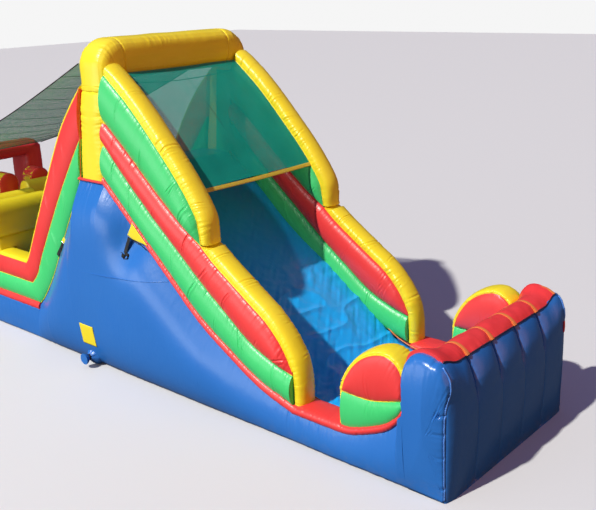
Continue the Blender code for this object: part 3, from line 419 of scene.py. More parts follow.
def dust_group():
    """Dust and splashes that are thickest near the ground."""
    group, _, made = new_group("ground_dust", {}, {"Mask": "Float"})
    place, reach = object_place(group), 0.35
    height = node(group, "SeparateXYZ", {0: place}).outputs[2]
    low = maths(group, "SUBTRACT", 1.0, maths(group, "DIVIDE", height, reach), clamp=True)
    specks = ramp(group, noise_of(group, place, 9.0, 8.0, 0.7), 0.42, 0.75)
    feed(group, made, {"Mask": times(group, times(group, low, low), specks)})
    return group


coated_cloth, seam_gathers, ground_dust = cloth_group(), gather_group(), dust_group()


# Materials


def blank_material(name):
    material = bpy.data.materials.new(name)
    material.use_nodes = True
    return material, material.node_tree, material.node_tree.nodes["Principled BSDF"]


def vinyl(name, colour, faded, roughness):
    material, tree, shader = blank_material(name)
    cloth = node(tree, "Group", node_tree=coated_cloth)
    feed(tree, cloth, {"Colour": (*colour, 1.0), "Faded": (*faded, 1.0), "Gloss": roughness})
    seams, dust = (node(tree, "Group", node_tree=group).outputs[0] for group in (seam_gathers, ground_dust))
    height = maths(tree, "ADD", cloth.outputs["Height"], seams)
    feed(tree, shader, {
        "Base Color": mixed(tree, times(tree, dust, 0.35), cloth.outputs["Colour"], (0.25, 0.22, 0.17)),
        "Roughness": cloth.outputs["Roughness"], "Normal": bumped(tree, height, 1.0),
        "Specular IOR Level": 0.5, "Coat Weight": 0.10, "Coat Roughness": 0.22})
    return material


blue_vinyl = vinyl("blue_vinyl", (0.022, 0.160, 0.54), (0.040, 0.205, 0.59), 0.29)
slide_vinyl = vinyl("slide_vinyl", (0.008, 0.42, 0.96), (0.02, 0.48, 0.97), 0.40)
yellow_vinyl = vinyl("yellow_vinyl", (0.95, 0.76, 0.02), (0.97, 0.82, 0.10), 0.37)
red_vinyl = vinyl("red_vinyl", (0.85, 0.045, 0.045), (0.90, 0.12, 0.10), 0.39)
green_vinyl = vinyl("green_vinyl", (0.05, 0.62, 0.17), (0.12, 0.70, 0.27), 0.39)
# A lighter copy of the blue vinyl for the corner weld beads: a painted highlight for the sunlit glint along
# the weld
weld_painted_highlight = vinyl("weld_painted_highlight", (0.09, 0.25, 0.68), (0.14, 0.32, 0.74), 0.32)
dark_seam = vinyl("dark_seam", (0.012, 0.014, 0.04), (0.02, 0.03, 0.07), 0.5)
orange_tape = vinyl("orange_tape", (0.80, 0.22, 0.05), (0.85, 0.32, 0.12), 0.45)


def webbing(name, colour, dark):
    """Woven tape, worn paler in places."""
    material, tree, shader = blank_material(name)
    place = object_place(tree)
    weave = cells_of(tree, place, 380.0, 0.3)
    worn = ramp(tree, noise_of(tree, place, 14.0, 5.0, 0.6), 0.45, 0.75, 0.0, 0.5)
    shade = mixed(tree, ramp(tree, weave, 0.1, 0.7), colour, dark)
    pale = tuple(0.6 * part + 0.08 for part in colour)
    feed(tree, shader, {"Base Color": mixed(tree, worn, shade, pale), "Normal": bumped(tree, weave, 0.0006),
                        "Roughness": 0.75})
    return material


yellow_webbing = webbing("yellow_webbing", (0.78, 0.62, 0.06), (0.55, 0.42, 0.03))
black_webbing = webbing("black_webbing", (0.012, 0.012, 0.015), (0.004, 0.004, 0.005))


def mesh_net(name, colour, dark, opacity):
    """Knitted shade net: crossed yarns with open gaps, denser in patches."""
    material, tree, shader = blank_material(name)
    uv, pitch = node(tree, "UVMap").outputs[0], 0.011
    split = node(tree, "SeparateXYZ", {0: uv}).outputs
    waves = (maths(tree, "SINE", times(tree, split[axis], 2 * math.pi / pitch)) for axis in (0, 1))
    gap = times(tree, *(maths(tree, "ABSOLUTE", wave) for wave in waves))
    patchy = noise_of(tree, uv, 2.5, 3.0, 0.5)
    open_share = times(tree, ramp(tree, gap, 0.25, 0.65), ramp(tree, patchy, 0.3, 0.7, 1.0, 0.92))
    alpha = maths(tree, "SUBTRACT", 1.0, times(tree, open_share, 1.0 - opacity), clamp=True)
    feed(tree, shader, {"Alpha": alpha, "Base Color": mixed(tree, ramp(tree, patchy, 0.3, 0.7), dark, colour),
                        "Normal": bumped(tree, gap, 0.001), "Roughness": 0.75, "Specular IOR Level": 0.2})
    return material


green_net = mesh_net("green_net", (0.004, 0.33, 0.25), (0.003, 0.29, 0.22), 0.56)
canopy_mesh = mesh_net("canopy_mesh", (0.05, 0.46, 0.28), (0.035, 0.38, 0.23), 0.42)


def steel_finish():
    material, tree, shader = blank_material("steel")
    marks = noise_of(tree, object_place(tree), 160.0, 4.0, 0.6)
    feed(tree, shader, {
        "Base Color": mixed(tree, ramp(tree, marks, 0.4, 0.7), (0.62, 0.62, 0.63), (0.42, 0.40, 0.38)),
        "Roughness": ramp(tree, marks, 0.3, 0.7, 0.22, 0.45), "Metallic": 1.0})
    return material


steel = steel_finish()


# Seam lines in the plane of a side wall, each drawn in a box: its low corner and its size

SLIDE, CLIMB = ((X_CREST, LANDING_RAIL), (3.67, 2.61)), ((X_CORNER, REAR_RAIL), (1.59, 2.41))
BUMPER_LEFT = 4.989
BUMPER, END = ((BUMPER_LEFT, 0.50), (0.93, 1.12)), ((X_END_WALL, 0.0), (0.55, 1.72))


def outline(box, count, *shares, first=(), last=()):
    """A smooth line through shares of a box, with further points before and after them."""
    corner, size = np.array(box)
    return smooth_line([*first, *(corner + size * shares), *last], count)


def leg_at(x, share):
    """A place on the arch's leg, a share of its height above the platform."""
    return x + ARCH_LEAN * share, PLATFORM + LEG_HEIGHT * share


WALL_COLUMNS, UPPER_COLUMNS, CLIMB_COLUMNS = 560, 380, 280
rail = outline(SLIDE, WALL_COLUMNS, (0.0, 1.0), (0.174, 0.778), (0.365, 0.536), (0.534, 0.330),
               (0.692, 0.188), (0.842, 0.073), (1.0, 0.0))
foot = rail + (0.0, 0.085)
lower_seam = outline(SLIDE, WALL_COLUMNS, (0.147, 1.050), (0.286, 0.870), (0.422, 0.709), (0.550, 0.556),
                     (0.678, 0.421), (0.804, 0.295), (0.924, 0.226), (1.0, 0.195),
                     first=[leg_at(X_CREST, 0.414)])
middle_seam = outline(SLIDE, UPPER_COLUMNS, (0.166, 1.207), (0.302, 1.034), (0.436, 0.881), (0.512, 0.805),
                      (0.561, 0.760), first=[leg_at(X_CREST, 0.648)])
upper_seam = outline(SLIDE, UPPER_COLUMNS, (0.193, 1.467), (0.324, 1.284), (0.452, 1.088), (0.535, 0.927),
                     (0.552, 0.847), (0.559, 0.768), first=[leg_at(X_CREST, 1.110)])
lower_cap_seam = outline(SLIDE, 230, (0.562, 0.757), (0.618, 0.690), (0.692, 0.617), (0.815, 0.502),
                         (0.886, 0.433), (0.954, 0.330), (1.0, 0.215))
red_top = resampled(np.vstack([middle_seam, lower_cap_seam[1:]]), WALL_COLUMNS)
bed_line = outline(SLIDE, 420, (0.0, 1.031), (0.177, 0.858), (0.362, 0.636), (0.589, 0.418), (0.807, 0.200),
                   (0.93, 0.070), (1.0, 0.025), (1.08, 0.0))
climb_rail = outline(CLIMB, 260, (0.0, 0.0), (0.12, 0.075), (0.308, 0.235), (0.497, 0.436), (0.717, 0.676),
                     (0.918, 0.884), (1.0, 1.0))
climb_seam = outline(CLIMB, CLIMB_COLUMNS, (-0.107, 0.150), (0.02, 0.240), (0.151, 0.394), (0.560, 0.813),
                     (0.893, 1.120), last=[leg_at(X_TOWER, 0.428)])
climb_top = outline(CLIMB, CLIMB_COLUMNS, (-0.195, 0.290), (-0.101, 0.373), (0.283, 0.809), (0.623, 1.178),
                    (0.824, 1.362), last=[leg_at(X_TOWER, 0.952)])
bumper_seat = outline(BUMPER, 120, (0.0, 0.0), (0.19, 0.026), (0.49, 0.118), (0.74, 0.220), (0.92, 0.349),
                      (1.0, 0.450))
bumper_split = outline(BUMPER, 120, (0.011, 0.432), (0.5, 0.436), (1.0, 0.551))
bumper_top = outline(BUMPER, 120, (0.011, 0.466), (0.086, 0.627), (0.258, 0.822), (0.473, 0.949),
                     (0.710, 1.0), (0.885, 0.941), (0.975, 0.831), (1.0, 0.686), (1.0, 0.600))


# Side walls: banded tubes, caps, ledges and piping


def in_wall(side):
    """Puts a wall's own places, along, across and up, on its side of the object."""
    return lambda along, across, up: spots(along, side * (Y_WALL + across), up)


def band(name, node_name, low, high, put, material, swell, seed, half=SEAM_HALF, depth=0.009, spacing=0.55,
         tight=(0.0, 1.0, 0.0)):
    """A blown-up band of a wall between two seams, puckered along both and most of all at its tight place."""
    up = 0.5 - 0.5 * np.cos(np.linspace(0.0, math.pi, 26))
    down = 0.5 + 0.5 * np.cos(np.linspace(0.0, math.pi, 8))
    share = np.concatenate([up, down, up[:1]])[:, None]
    face = np.array([1.0] * 26 + [-1.0] * 8 + [1.0])[:, None]
    flat = low * (1 - share[..., None]) + high * share[..., None]
    width = np.linalg.norm(high - low, axis=1)[None]
    across = 1 - (2 * share - 1) ** 2
    full = 0.30 * across + 0.70 * np.sqrt(across)
    along = lengths_along((low + high) / 2)[None]
    breathing = 1 + 0.10 * noise_line(along / 0.6, seed + 9)
    reach = half + np.minimum(swell, width * 0.32) * full * breathing
    from_low, from_high = share * width, (1 - share) * width
    ends = eased(width, 0.02, 0.12)
    place, spread, gain = tight
    lift = (gathers(along, from_high, 0.036, depth * 0.55, 0.16, seed)
            + gathers(along, from_low, 0.040, depth * 0.45, 0.13, seed + 20))
    lift = lift * (1 + gain * hump(along, place, spread)) * np.where(face > 0, 1.0, 0.7)
    folds = creases(along, share, crease_places(along[0, -1], spacing, 0.010, seed + 40))
    lift = (lift + folds * full) * ends * eased(full * 4.0 + 0.25)
    near = np.exp(-np.minimum(from_low, from_high) / 0.12) * ends
    padded(name, put(flat[..., 0], face * reach, flat[..., 1]), near, material, node_name, lift=lift)


def cap_strip(name, nodes, seam, height, put, seed, first=None, last=None, spread=0.012, depth=0.009,
              half=SEAM_HALF):
    """A round yellow strip along the top of a wall, from its outer seam over the crown to the inner one."""
    t = np.linspace(0.0, 1.0, 34)[:, None]
    up = left_of(seam)
    turn = np.linspace(0.0, 1.0, len(seam))[:, None]
    for way, share in ((first, eased(turn / 0.06)), (last, eased((1 - turn) / 0.06))):
        if way is not None:
            up = up * share + np.array(way) * (1 - share)
    rise = height * np.sin(math.pi * t) ** 0.72
    reach = half * np.cos(math.pi * t) + spread * np.sin(2 * math.pi * t)
    along = lengths_along(seam)[None]
    flat = seam + unit(up) * rise[..., None]
    under = [put(seam[:, 0], share * half, seam[:, 1])[None] for share in (-0.5, 0.5)]
    points = closed(put(flat[..., 0], reach, flat[..., 1]), *under)
    share = np.concatenate([t, [[1.0], [1.0], [0.0]]])
    girth = 0.42
    low, high = share * girth, (1 - share) * girth
    lift = (gathers(along, low, 0.034, depth * 1.2, 0.13, seed)
            + gathers(along, high, 0.034, depth * 1.4, 0.14, seed + 20)
            + creases(along, share, crease_places(along[0, -1], 0.72, depth * 0.7, seed + 40)))
    lift = lift * eased(np.sin(math.pi * share) * 4 + 0.2)
    lift[-3:-1] = 0.0
    padded(name, points, np.exp(-np.minimum(low, high) / 0.11), yellow_vinyl, *nodes, lift=lift)


def seam_cord(name, line, y, radius=0.008, material=yellow_vinyl, count=260):
    line = resampled(line, count)
    bead(name, spots(line[:, 0], y, line[:, 1]), radius, material)


def ledge_section(*points):
    """A ledge strip's section, from where it is sewn on and back to it."""
    sewn = (1.495, -0.022)
    return smooth_line([sewn, *points, sewn], 40)[:, None]


def ledge_strip(name, node_name, line, side, seed, wall_end=X_WALL_END, bumper=BUMPER_LEFT, count=620):
    """The red strip between the blue side and the wall's foot, opening into a pad where no wall stands."""
    line = resampled(line, count)
    under_wall = ledge_section((1.513, 0.000), (1.524, 0.035), (1.515, 0.076), (1.490, 0.103), (1.455, 0.108),
                               (1.35, 0.092), (1.20, 0.065), (1.20, 0.012), (1.42, 0.004))
    open_pad = ledge_section((1.514, 0.000), (1.525, 0.035), (1.514, 0.074), (1.465, 0.100), (1.38, 0.112),
                             (1.26, 0.113), (1.15, 0.096), (1.103, 0.055), (1.12, 0.010), (1.35, 0.000))
    under_bumper = ledge_section((1.513, 0.000), (1.523, 0.030), (1.512, 0.062), (1.480, 0.078),
                                 (1.40, 0.078), (1.22, 0.074), (1.125, 0.066), (1.102, 0.035),
                                 (1.16, 0.005), (1.40, 0.000))
    x, z = line[None, :, 0], line[None, :, 1]
    opened, seated = (eased((x - end + back) / width)[..., None]
                      for end, back, width in ((wall_end, 0.03, 0.12), (bumper, 0.04, 0.10)))
    section = under_wall * (1 - opened) + open_pad * opened * (1 - seated) + under_bumper * seated
    reach, rise = section[..., 0], section[..., 1]
    along = lengths_along(line)[None]
    out = eased(reach, 1.42, 0.05)
    lift = out * (0.00168 * noise_line(along / 0.018, seed) + 0.002 * noise_line(along / 0.05, seed + 1))
    lift = lift + opened[..., 0] * (1 - out) * 0.006 * noise_sheet(x / 0.12, reach / 0.2, seed)
    padded(name, spots(x, side * reach, z + rise), out, red_vinyl, node_name, lift=lift, fill=0.9)


def slide_side(label, side):
    seed, put = 300 + 200 * side, in_wall(side)
    for part, low, high, material, swell, shift, tight in (
            ("lower_green", foot, lower_seam, green_vinyl, 0.095, 0, (4.4, 0.45, 1.0)),
            ("red", lower_seam, red_top, red_vinyl, 0.095, 60, (0.0, 1.0, 0.0)),
            ("upper_green", middle_seam, upper_seam, green_vinyl, 0.100, 120, (0.0, 1.0, 0.0))):
        band(f"{part}_band_{label}", f"slide_wall_{part}_{label}", low, high, put, material, swell,
             seed + shift, tight=tight)
    height = 0.14 * (1.12 - 0.25 * eased(np.linspace(0.0, 1.0, UPPER_COLUMNS), 0.9, 0.1))
    cap_strip(f"upper_cap_{label}", [f"slide_wall_upper_cap_{label}"], upper_seam, height, put, seed + 180,
              first=(0.137, 0.99), last=(1.0, -0.05))
    line = [*lower_cap_seam[::20], (X_WALL_END + 0.005, 0.85), (X_WALL_END + 0.01, 0.52)]
    cap_strip(f"lower_cap_{label}", [f"slide_wall_lower_cap_{label}"], smooth_line(line, 420), 0.135, put,
              seed + 240, first=(0.98, -0.2), last=(1.0, 0.0), depth=0.010)
    for name, line, y in (("foot", foot, 1.462), ("lower", lower_seam, 1.464), ("middle", red_top, 1.464),
                          ("upper", upper_seam, 1.462)):
        seam_cord(f"piping_{name}_{label}", line, side * y)
    seam_cord(f"net_piping_{label}", upper_seam, side * 1.140, 0.009)


def from_bay(height, line):
    """A level line along the bay that goes on up a climbing one, each with its own share of the columns."""
    level = np.linspace((X_BAY, height), line[0], 180, endpoint=False)
    return np.vstack([level, resampled(line, 270)])


def rear_side(label, side):
    """The low walls along the bay, which go on up beside the climb."""
    seed, put = 1100 + 200 * side, in_wall(side)
    low, seam = from_bay(REAR_RAIL + 0.03, climb_rail + (0.0, 0.03)), from_bay(1.00, climb_seam)
    top = from_bay(1.345, climb_top)
    band(f"rear_green_band_{label}", f"rear_wall_green_{label}", low, seam, put, green_vinyl, 0.05, seed,
         spacing=0.7, tight=(4.3, 0.40, 2.2))
    band(f"rear_red_band_{label}", f"rear_wall_red_{label}", seam, top, put, red_vinyl, 0.05, seed + 60,
         spacing=0.7, tight=(4.5, 0.35, 1.2))
    cap_strip(f"rear_rim_{label}", [f"rear_wall_rim_{label}"], top, 0.062, put, seed + 120,
              last=(0.137, 0.99), depth=0.006)
    for name, line, y in (("low", low, 1.464), ("seam", seam, 1.464), ("top", top, 1.462)):
        seam_cord(f"rear_piping_{name}_{label}", line, side * y, 0.007, count=320)
    level = np.array([(X_REAR, 0.57), (X_CORNER, 0.57)])
    ledge_strip(f"rear_ledge_strip_{label}", f"rear_ledge_{label}", level, side, seed + 200, wall_end=9.0,
                bumper=9.0, count=300)


def bumper_side(label, side):
    """The round-topped bumper: green below, red above, with a yellow strip over its edge."""
    seed, put = 1900 + 200 * side, in_wall(side)
    band(f"bumper_green_{label}", f"bumper_lower_{label}", bumper_seat, bumper_split, put, green_vinyl, 0.055,
         seed, spacing=0.8)
    band(f"bumper_red_{label}", f"bumper_upper_{label}", bumper_split, bumper_top, put, red_vinyl, 0.060,
         seed + 60, spacing=0.8)
    corner, start = bumper_seat[0], bumper_top[0]
    flank = [corner + (start - corner) * share for share in (0.0, 0.3, 0.6, 0.85)]
    edge = smooth_line([*flank, *bumper_top[::9], bumper_top[-1]], 260)
    cap_strip(f"bumper_edge_{label}", [f"bumper_rim_{label}"], edge, 0.060, put, seed + 120,
              first=(-1.0, 0.0), depth=0.010, spread=0.02)
    seam_cord(f"bumper_piping_split_{label}", bumper_split, side * 1.466, 0.006, count=120)
    seam_cord(f"bumper_piping_{label}", np.vstack([edge, bumper_seat[::-1]]), side * 1.464, count=420)


for label, side in SIDES:
    slide_side(label, side)
    rear_side(label, side)
    bumper_side(label, side)


# Base: blue sides, ledges, rear base and the chambers between the sides

landing_rail = np.vstack([[(BUMPER_LEFT - 0.01, LANDING_RAIL)], bumper_seat - (0.0, 0.06),
                          [(X_END_WALL, 1.025)]])
side_top = resampled(np.vstack([climb_rail, rail, landing_rail]), 880)


def side_reach(x, height):
    """How far out the blue side stands at a place and height: drawn in at its top seam and the ground."""
    top = np.interp(x, *side_top.T)
    full = np.minimum(1.0, top / 1.25) ** 0.6 * (1 - 0.5 * eased(x, 4.9, 1.3))
    slope = np.gradient(side_top[:, 1]) / (np.gradient(side_top[:, 0]) + 1e-9)
    lean = np.convolve(np.pad(1 / np.sqrt(1 + slope ** 2), 45, mode="edge"), np.ones(91) / 91, "valid")
    lean = np.interp(x, side_top[:, 0], lean)
    shoulder = eased(x, 5.86, 0.12)
    away = np.maximum(top + (1.80 - top) * shoulder - height, 0.0) * (lean + (1 - lean) * shoulder)
    low = np.maximum(height, 0.0)
    swell = 0.250 * full * (1 - np.exp(-(away / 0.28) ** 1.6)) * (1 - np.exp(-low / 0.30))
    tethered = hump(x, 1.04, 0.30) * hump(height, 2.20, 0.36)
    drawn = 0.030 * np.exp(-away / 0.06) + 0.160 * tethered + 0.035 * np.clip(1 - low / 0.07, 0.0, 1.0) ** 2
    return Y_OUTER + swell - drawn


def side_chamber(label, side):
    seed = 2700 + 200 * side
    share = 1 - (1 - np.linspace(0.0, 1.0, 84)[:, None]) ** 1.45
    x, top = side_top[None, :, 0], side_top[None, :, 1]
    height, away = top * share, top * (1 - share)
    along = lengths_along(side_top)[None]
    tight = 2.0 * hump(x, 0.30, 0.42) + 1.6 * hump(x, 4.40, 0.45)
    lift = (1 + tight) * gathers(along, away, 0.034, 0.0055, 0.11 * (1 + 0.7 * tight), seed)
    lift = lift + 0.008 * noise_sheet(x / 0.8, height / 0.7, seed + 5) * eased(away / 0.3)
    lift = lift + 0.006 * noise_line(x / 0.07, seed + 6) * np.exp(-height / 0.09)
    lift = lift * (1 - eased(x, 5.70, 0.28))
    points = closed(spots(x, side * (side_reach(x, height) + lift), height),
                    *(spots(x, side * (Y_INNER + 0.002), z) for z in (top, 0.0 * top)))
    near = closed(np.exp(-away / 0.08), np.zeros((2, x.shape[1])))
    padded(f"blue_side_{label}", points, near, blue_vinyl, f"side_chamber_{label}")
    ledge_strip(f"ledge_strip_{label}", f"ledge_{label}", np.vstack([rail, landing_rail]), side, seed + 50)


def rear_base():
    """The blue base of the bay: two side rails with the floor between them."""
    flank = smooth_line(((-1.47, 0.00), (-1.505, 0.05), (-1.515, 0.30), (-1.505, 0.55)), 40)
    flank = np.vstack([flank, [(-1.49, 0.58), (-1.12, 0.58), (-1.098, 0.56), (-1.095, 0.38)]])
    y = np.linspace(-1.09, 1.09, 90)
    floor = spots(y, 0.325 + 0.028 * np.abs(np.sin(math.pi * (y + 1.09) / 2.18 * 5)) ** 0.6)
    section, rail_top = closed(flank, floor, (flank * (-1.0, 1.0))[::-1]), 0.58
    x, y, z = np.linspace(X_REAR, X_CORNER, 170)[None], section[:, :1], section[:, 1:]
    face, below = eased(np.abs(y), 1.40, 0.08), rail_top - np.minimum(z, rail_top)
    lift = face * (0.006 * noise_line(x / 0.05, 3301) * np.exp(-below / 0.10)
                   + 0.008 * noise_sheet(x / 0.6, z / 0.4, 3302))
    dip = (np.abs(y) < 1.08) * (z > 0.1) * 0.006 * noise_sheet(x / 0.3, y / 0.3, 3303)
    points = spots(x, y + np.sign(y) * lift, z + dip)
    points[-1] = points[0]
    padded("bay_base", points, face * np.exp(-below / 0.07), blue_vinyl, "rear_base", fill=0.95)


def across(name, nodes, line, under, material, lift=None, rows=90):
    """A chamber between the sides: its top follows a line, and its underside has a height of its own."""
    half = 1.092
    y = half * np.sin(np.linspace(-1.0, 1.0, rows) * math.pi / 2)[:, None]
    away = half - np.abs(y)
    top = -0.03 * np.exp(-away / 0.035)
    if lift is not None:
        top = top + lift(line[None, :, 0], y)
    flat = line + left_of(line) * top[..., None]
    points = closed(spots(flat[..., 0], y, flat[..., 1]),
                    *(spots(line[:, 0], end, under)[None] for end in (half, -half)))
    near = closed(np.exp(-away / 0.06), np.zeros((2, 1)))
    padded(name, points, near, material, *nodes, fill=0.95)


def bed_folds(x, y):
    """Fine crumples all over the slide's bed, and long folds across its run-out where it is slack."""
    wander = 0.30 * noise_line(y / 0.5, 3402)
    slack = eased(x, 2.2, 0.7) * (1 - eased(x, 4.5, 0.3))
    ridge = 1 - np.abs(noise_sheet((x + wander) / 0.30, y / 0.9, 3403)) * 2.2
    fine = (0.005 * noise_sheet(x / 0.08, y / 0.10, 3404)
            + 0.004 * noise_sheet(x / 0.05 + y / 0.07, y / 0.25, 3405))
    broad = 0.010 * noise_sheet(x / 0.6, y / 0.45, 3406)
    return slack * 0.024 * np.maximum(ridge, 0.0) ** 2 + fine * (0.5 + slack) + broad


def deck_rise(x, y):
    round_top = np.sin(math.pi * np.clip((x - X_TOWER) / 0.62, 0, 1)) ** 0.5
    return 0.03 * round_top + 0.004 * noise_sheet(x / 0.1, y / 0.2, 3460)


def chambers():
    bed_end = X_END_WALL - 0.035
    bed = resampled(np.vstack([bed_line, [(bed_end, LANDING_RAIL)]]), 500)
    under = np.where(bed[:, 0] < X_WALL_END, 0.0, bed[:, 1] - 0.03)
    across("slide_lane", ["slide_chamber", "slide_liner"], bed, under, slide_vinyl, bed_folds, 112)
    landing = spots(np.linspace(X_WALL_END + 0.01, bed_end, 60), 0.405)
    across("landing_mat", ["landing_floor"], landing, 0.0, slide_vinyl, rows=30)
    deck = spots(np.linspace(X_TOWER + 0.003, X_CREST - 0.003, 60), PLATFORM + 0.07)
    across("platform_deck", ["platform_chamber"], deck, 0.0, blue_vinyl, deck_rise)
    for label, side in SIDES:
        line = bed[bed[:, 0] < X_WALL_END + 0.4] + (0.0, 0.02)
        seam_cord(f"bed_piping_{label}", line, side * 1.086, 0.009, orange_tape, 300)


def climb():
    """The ramp up to the platform, with round rolls across it to climb by."""
    ramp = np.array([(X_CORNER + 0.002, BAY_FLOOR), (X_TOWER - 0.002, PLATFORM + 0.08)])
    tilt = math.atan2(*(ramp[1] - ramp[0])[::-1])
    section, rolls = [ramp[0]], 6
    for roll in range(rolls):
        middle = ramp[0] + (ramp[1] - ramp[0]) * (2 * roll + 1) / (2 * rolls)
        turn = tilt + np.linspace(math.pi, 0.0, 26)
        section.extend(middle + 0.09 * spots(np.cos(turn), np.sin(turn)))
    section = resampled(np.array([*section, ramp[1]]), 250)
    section = closed(section, [(X_TOWER - 0.002, 0.0), (X_CORNER + 0.002, 0.0)])
    y = np.linspace(-1.088, 1.088, 80)[None]
    lift = 0.004 * noise_sheet(lengths_along(section)[:, None] / 0.08, y / 0.05, 3501)
    lift[-3:] = 0.0
    lift[0] = 0.0
    padded("climbing_ramp", spots(section[:, :1], y, section[:, 1:]), 0.0, blue_vinyl, "climb_chamber",
           lift=lift, fill=0.95)


for label, side in SIDES:
    side_chamber(label, side)
rear_base()
chambers()
climb()


# Arches


def box_section(power, count):
    """The outline of a rounded box, one unit each way."""
    angle = np.linspace(0.0, 2 * math.pi, 1441)
    section = spots(*(np.sign(wave) * np.abs(wave) ** power for wave in (np.cos(angle), np.sin(angle))))
    section = resampled(section, count)
    section[-1] = section[0]
    return section


def arched_tube(name, node_name, outer, inner, x_middle, half_x, material, seed, power=0.70, bend=0.0,
                pinches=(), rows=89):
    """A thick tube between two lines across the object, gathered along its four long seams."""
    section, turn = box_section(power, rows), np.linspace(0.0, 1.0, rows)[:, None]
    middle, arm = (outer + inner) / 2, (outer - inner) / 2
    points = spots(x_middle + half_x * section[:, :1],
                   *(middle[:, axis] + arm[:, axis] * section[:, 1:] for axis in (0, 1)))
    girth = 2 * (half_x + np.linalg.norm(arm, axis=1).mean()) * 1.9
    away = np.abs(turn - np.array([0.125, 0.375, 0.625, 0.875])).min(axis=1)[:, None] * girth
    along = lengths_along(middle)[None]
    lift = gathers(along, away, 0.036, 0.008 * (0.8 + 2.2 * bend), 0.13 * (1 + 0.9 * bend), seed)
    lift = lift - 0.007 * hump(away, 0.0, 0.014) + 0.006 * noise_sheet(along / 0.35, turn * 9, seed + 7)
    ripple = 0.6 + 0.4 * noise_line(turn * girth / 0.035, seed + 11)
    for place in pinches:
        off = along - place
        lift = lift - 0.014 * hump(off, 0.0, 0.012) - 0.010 * ripple * np.exp(-np.abs(off) / 0.05)
    padded(name, points, np.exp(-away / 0.06), material, node_name, lift=lift)


def bent_over(half, top, radius, corner=90, straight=240):
    """An arch's line from one side over to the other: a quarter turn, a straight top and a quarter turn."""
    angle = np.radians(np.linspace(0.0, 90.0, corner))
    turn = spots(half + radius * np.cos(angle), top - radius + radius * np.sin(angle))
    level = np.linspace((half, top), (-half, top), straight)[1:-1]
    return np.vstack([turn, level, (turn * (-1.0, 1.0))[::-1]])


def tower_arch():
    corner, stub, half_x, shoulder = 90, 14, 0.31, 4.50
    outer, inner = bent_over(1.08, ARCH_TOP, 0.42), bent_over(1.04, BEAM_UNDERSIDE, 0.06)
    outer = np.vstack([np.linspace((Y_OUTER, shoulder), outer[0], stub)[:-1], outer,
                       np.linspace(outer[-1], (-Y_OUTER, shoulder), stub)[1:]])
    inner = np.vstack([[(Y_INNER, shoulder - 0.002)] * (stub - 1), inner,
                       [(-Y_INNER, shoulder - 0.002)] * (stub - 1)])
    order = np.arange(len(outer))
    bend = hump(np.minimum(order, order[::-1]), stub + corner / 2, 32.0)
    length = lengths_along((outer + inner) / 2)
    pinches = length[[stub + corner, len(outer) - stub - corner - 1]]
    arched_tube("arch_beam_tube", "arch_beam", outer, inner, X_TOWER + half_x + ARCH_LEAN, half_x,
                yellow_vinyl, 3600, bend=bend, pinches=pinches)
    share = np.linspace(0.0, 1.0, 150)
    height = PLATFORM + 0.002 + (LEG_HEIGHT - 0.002) * share
    for label, side in SIDES:
        outer, inner = spots(side * Y_OUTER, height), spots(side * Y_INNER, height)
        arched_tube(f"arch_leg_tube_{label}", f"arch_leg_{label}", outer, inner,
                    X_TOWER + half_x + ARCH_LEAN * share, half_x, yellow_vinyl, 3700 + side, power=0.55,
                    bend=0.6 * share ** 3, pinches=[1.35])


def entrance():
    """The red arch at the bay's far end."""
    lines = []
    for corners in (((1.50, 0.645), (1.50, 2.60), (1.38, 2.72)), ((1.02, 0.645), (1.02, 2.38), (1.01, 2.39))):
        corners = np.array([*corners, *((-y, z) for y, z in corners[::-1])])
        parts = [np.linspace(start, end, count, endpoint=False)
                 for start, end, count in zip(corners, corners[1:], (120, 20, 180, 20, 120))]
        lines.append(np.vstack([*parts, corners[-1:]]))
    arched_tube("entrance_arch_tube", "entrance_arch", *lines, (X_REAR + X_BAY) / 2, 0.348, red_vinyl, 3800,
                power=0.6, rows=49)


tower_arch()
entrance()


# End wall


END_ROWS, HALF_WALL, COVER_COLUMNS = 190, 1.47, 50
CROWN = outline(END, END_ROWS, (0.0, 0.0), (0.0, 0.35), (0.0, 0.68), (0.0, 0.83), (0.05, 0.92),
                (0.19, 0.975), (0.37, 1.0), (0.58, 0.985), (0.78, 0.93), (0.93, 0.83), (1.0, 0.70),
                (1.0, 0.45), (1.0, 0.2), (1.0, 0.0))
SHOULDER = outline(END, END_ROWS, (0.0, 0.0), (0.0, 0.35), (-0.02, 0.60), (-0.11, 0.78), (-0.14, 0.91),
                   (-0.05, 0.99), (0.14, 1.030), (0.38, 1.035), (0.66, 1.010), (0.88, 0.945), (1.0, 0.82),
                   (1.0, 0.55), (1.0, 0.25), (1.0, 0.0))
CROWN[:, 0] = np.clip(CROWN[:, 0], X_END_WALL, X_FRONT)
SHOULDER[:, 0] = np.minimum(SHOULDER[:, 0], X_FRONT)


def end_skin(y, rows=slice(None), count=END_ROWS):
    """The end wall's section at each place across it, higher at both ends, and the section's normals."""
    blend = eased(np.abs(y), 1.06, 0.36)[None, :, None]
    lines = [resampled(line[rows], count) for line in (CROWN, SHOULDER)]
    normals = [left_of(line) for line in lines]
    return [a[:, None] * (1 - blend) + b[:, None] * blend for a, b in (lines, normals)]


def rib_shape(y):
    """How full the ribs stand at each place across the wall, and how far each place is from a cleft."""
    width, half = 0.568, 1.42
    place = ((y + half) / width) % 1.0
    place = np.minimum(place, 1 - place)
    fullness = (1 - (1 - 2 * place) ** 2) ** 0.30
    ends = np.abs(y) > half - width / 2
    return np.where(ends, 0.85 + 0.15 * eased((1.5 - np.abs(y)) / 0.36), fullness), place * width


def drawn_in(y, edge=1.42):
    """Places across the wall, drawn together toward the ends to leave room for the rounded corners."""
    away = np.abs(y)
    return np.sign(y) * np.where(away > 1.2, 1.2 + (away - 1.2) * (edge - 1.2) / (HALF_WALL - 1.2), away)


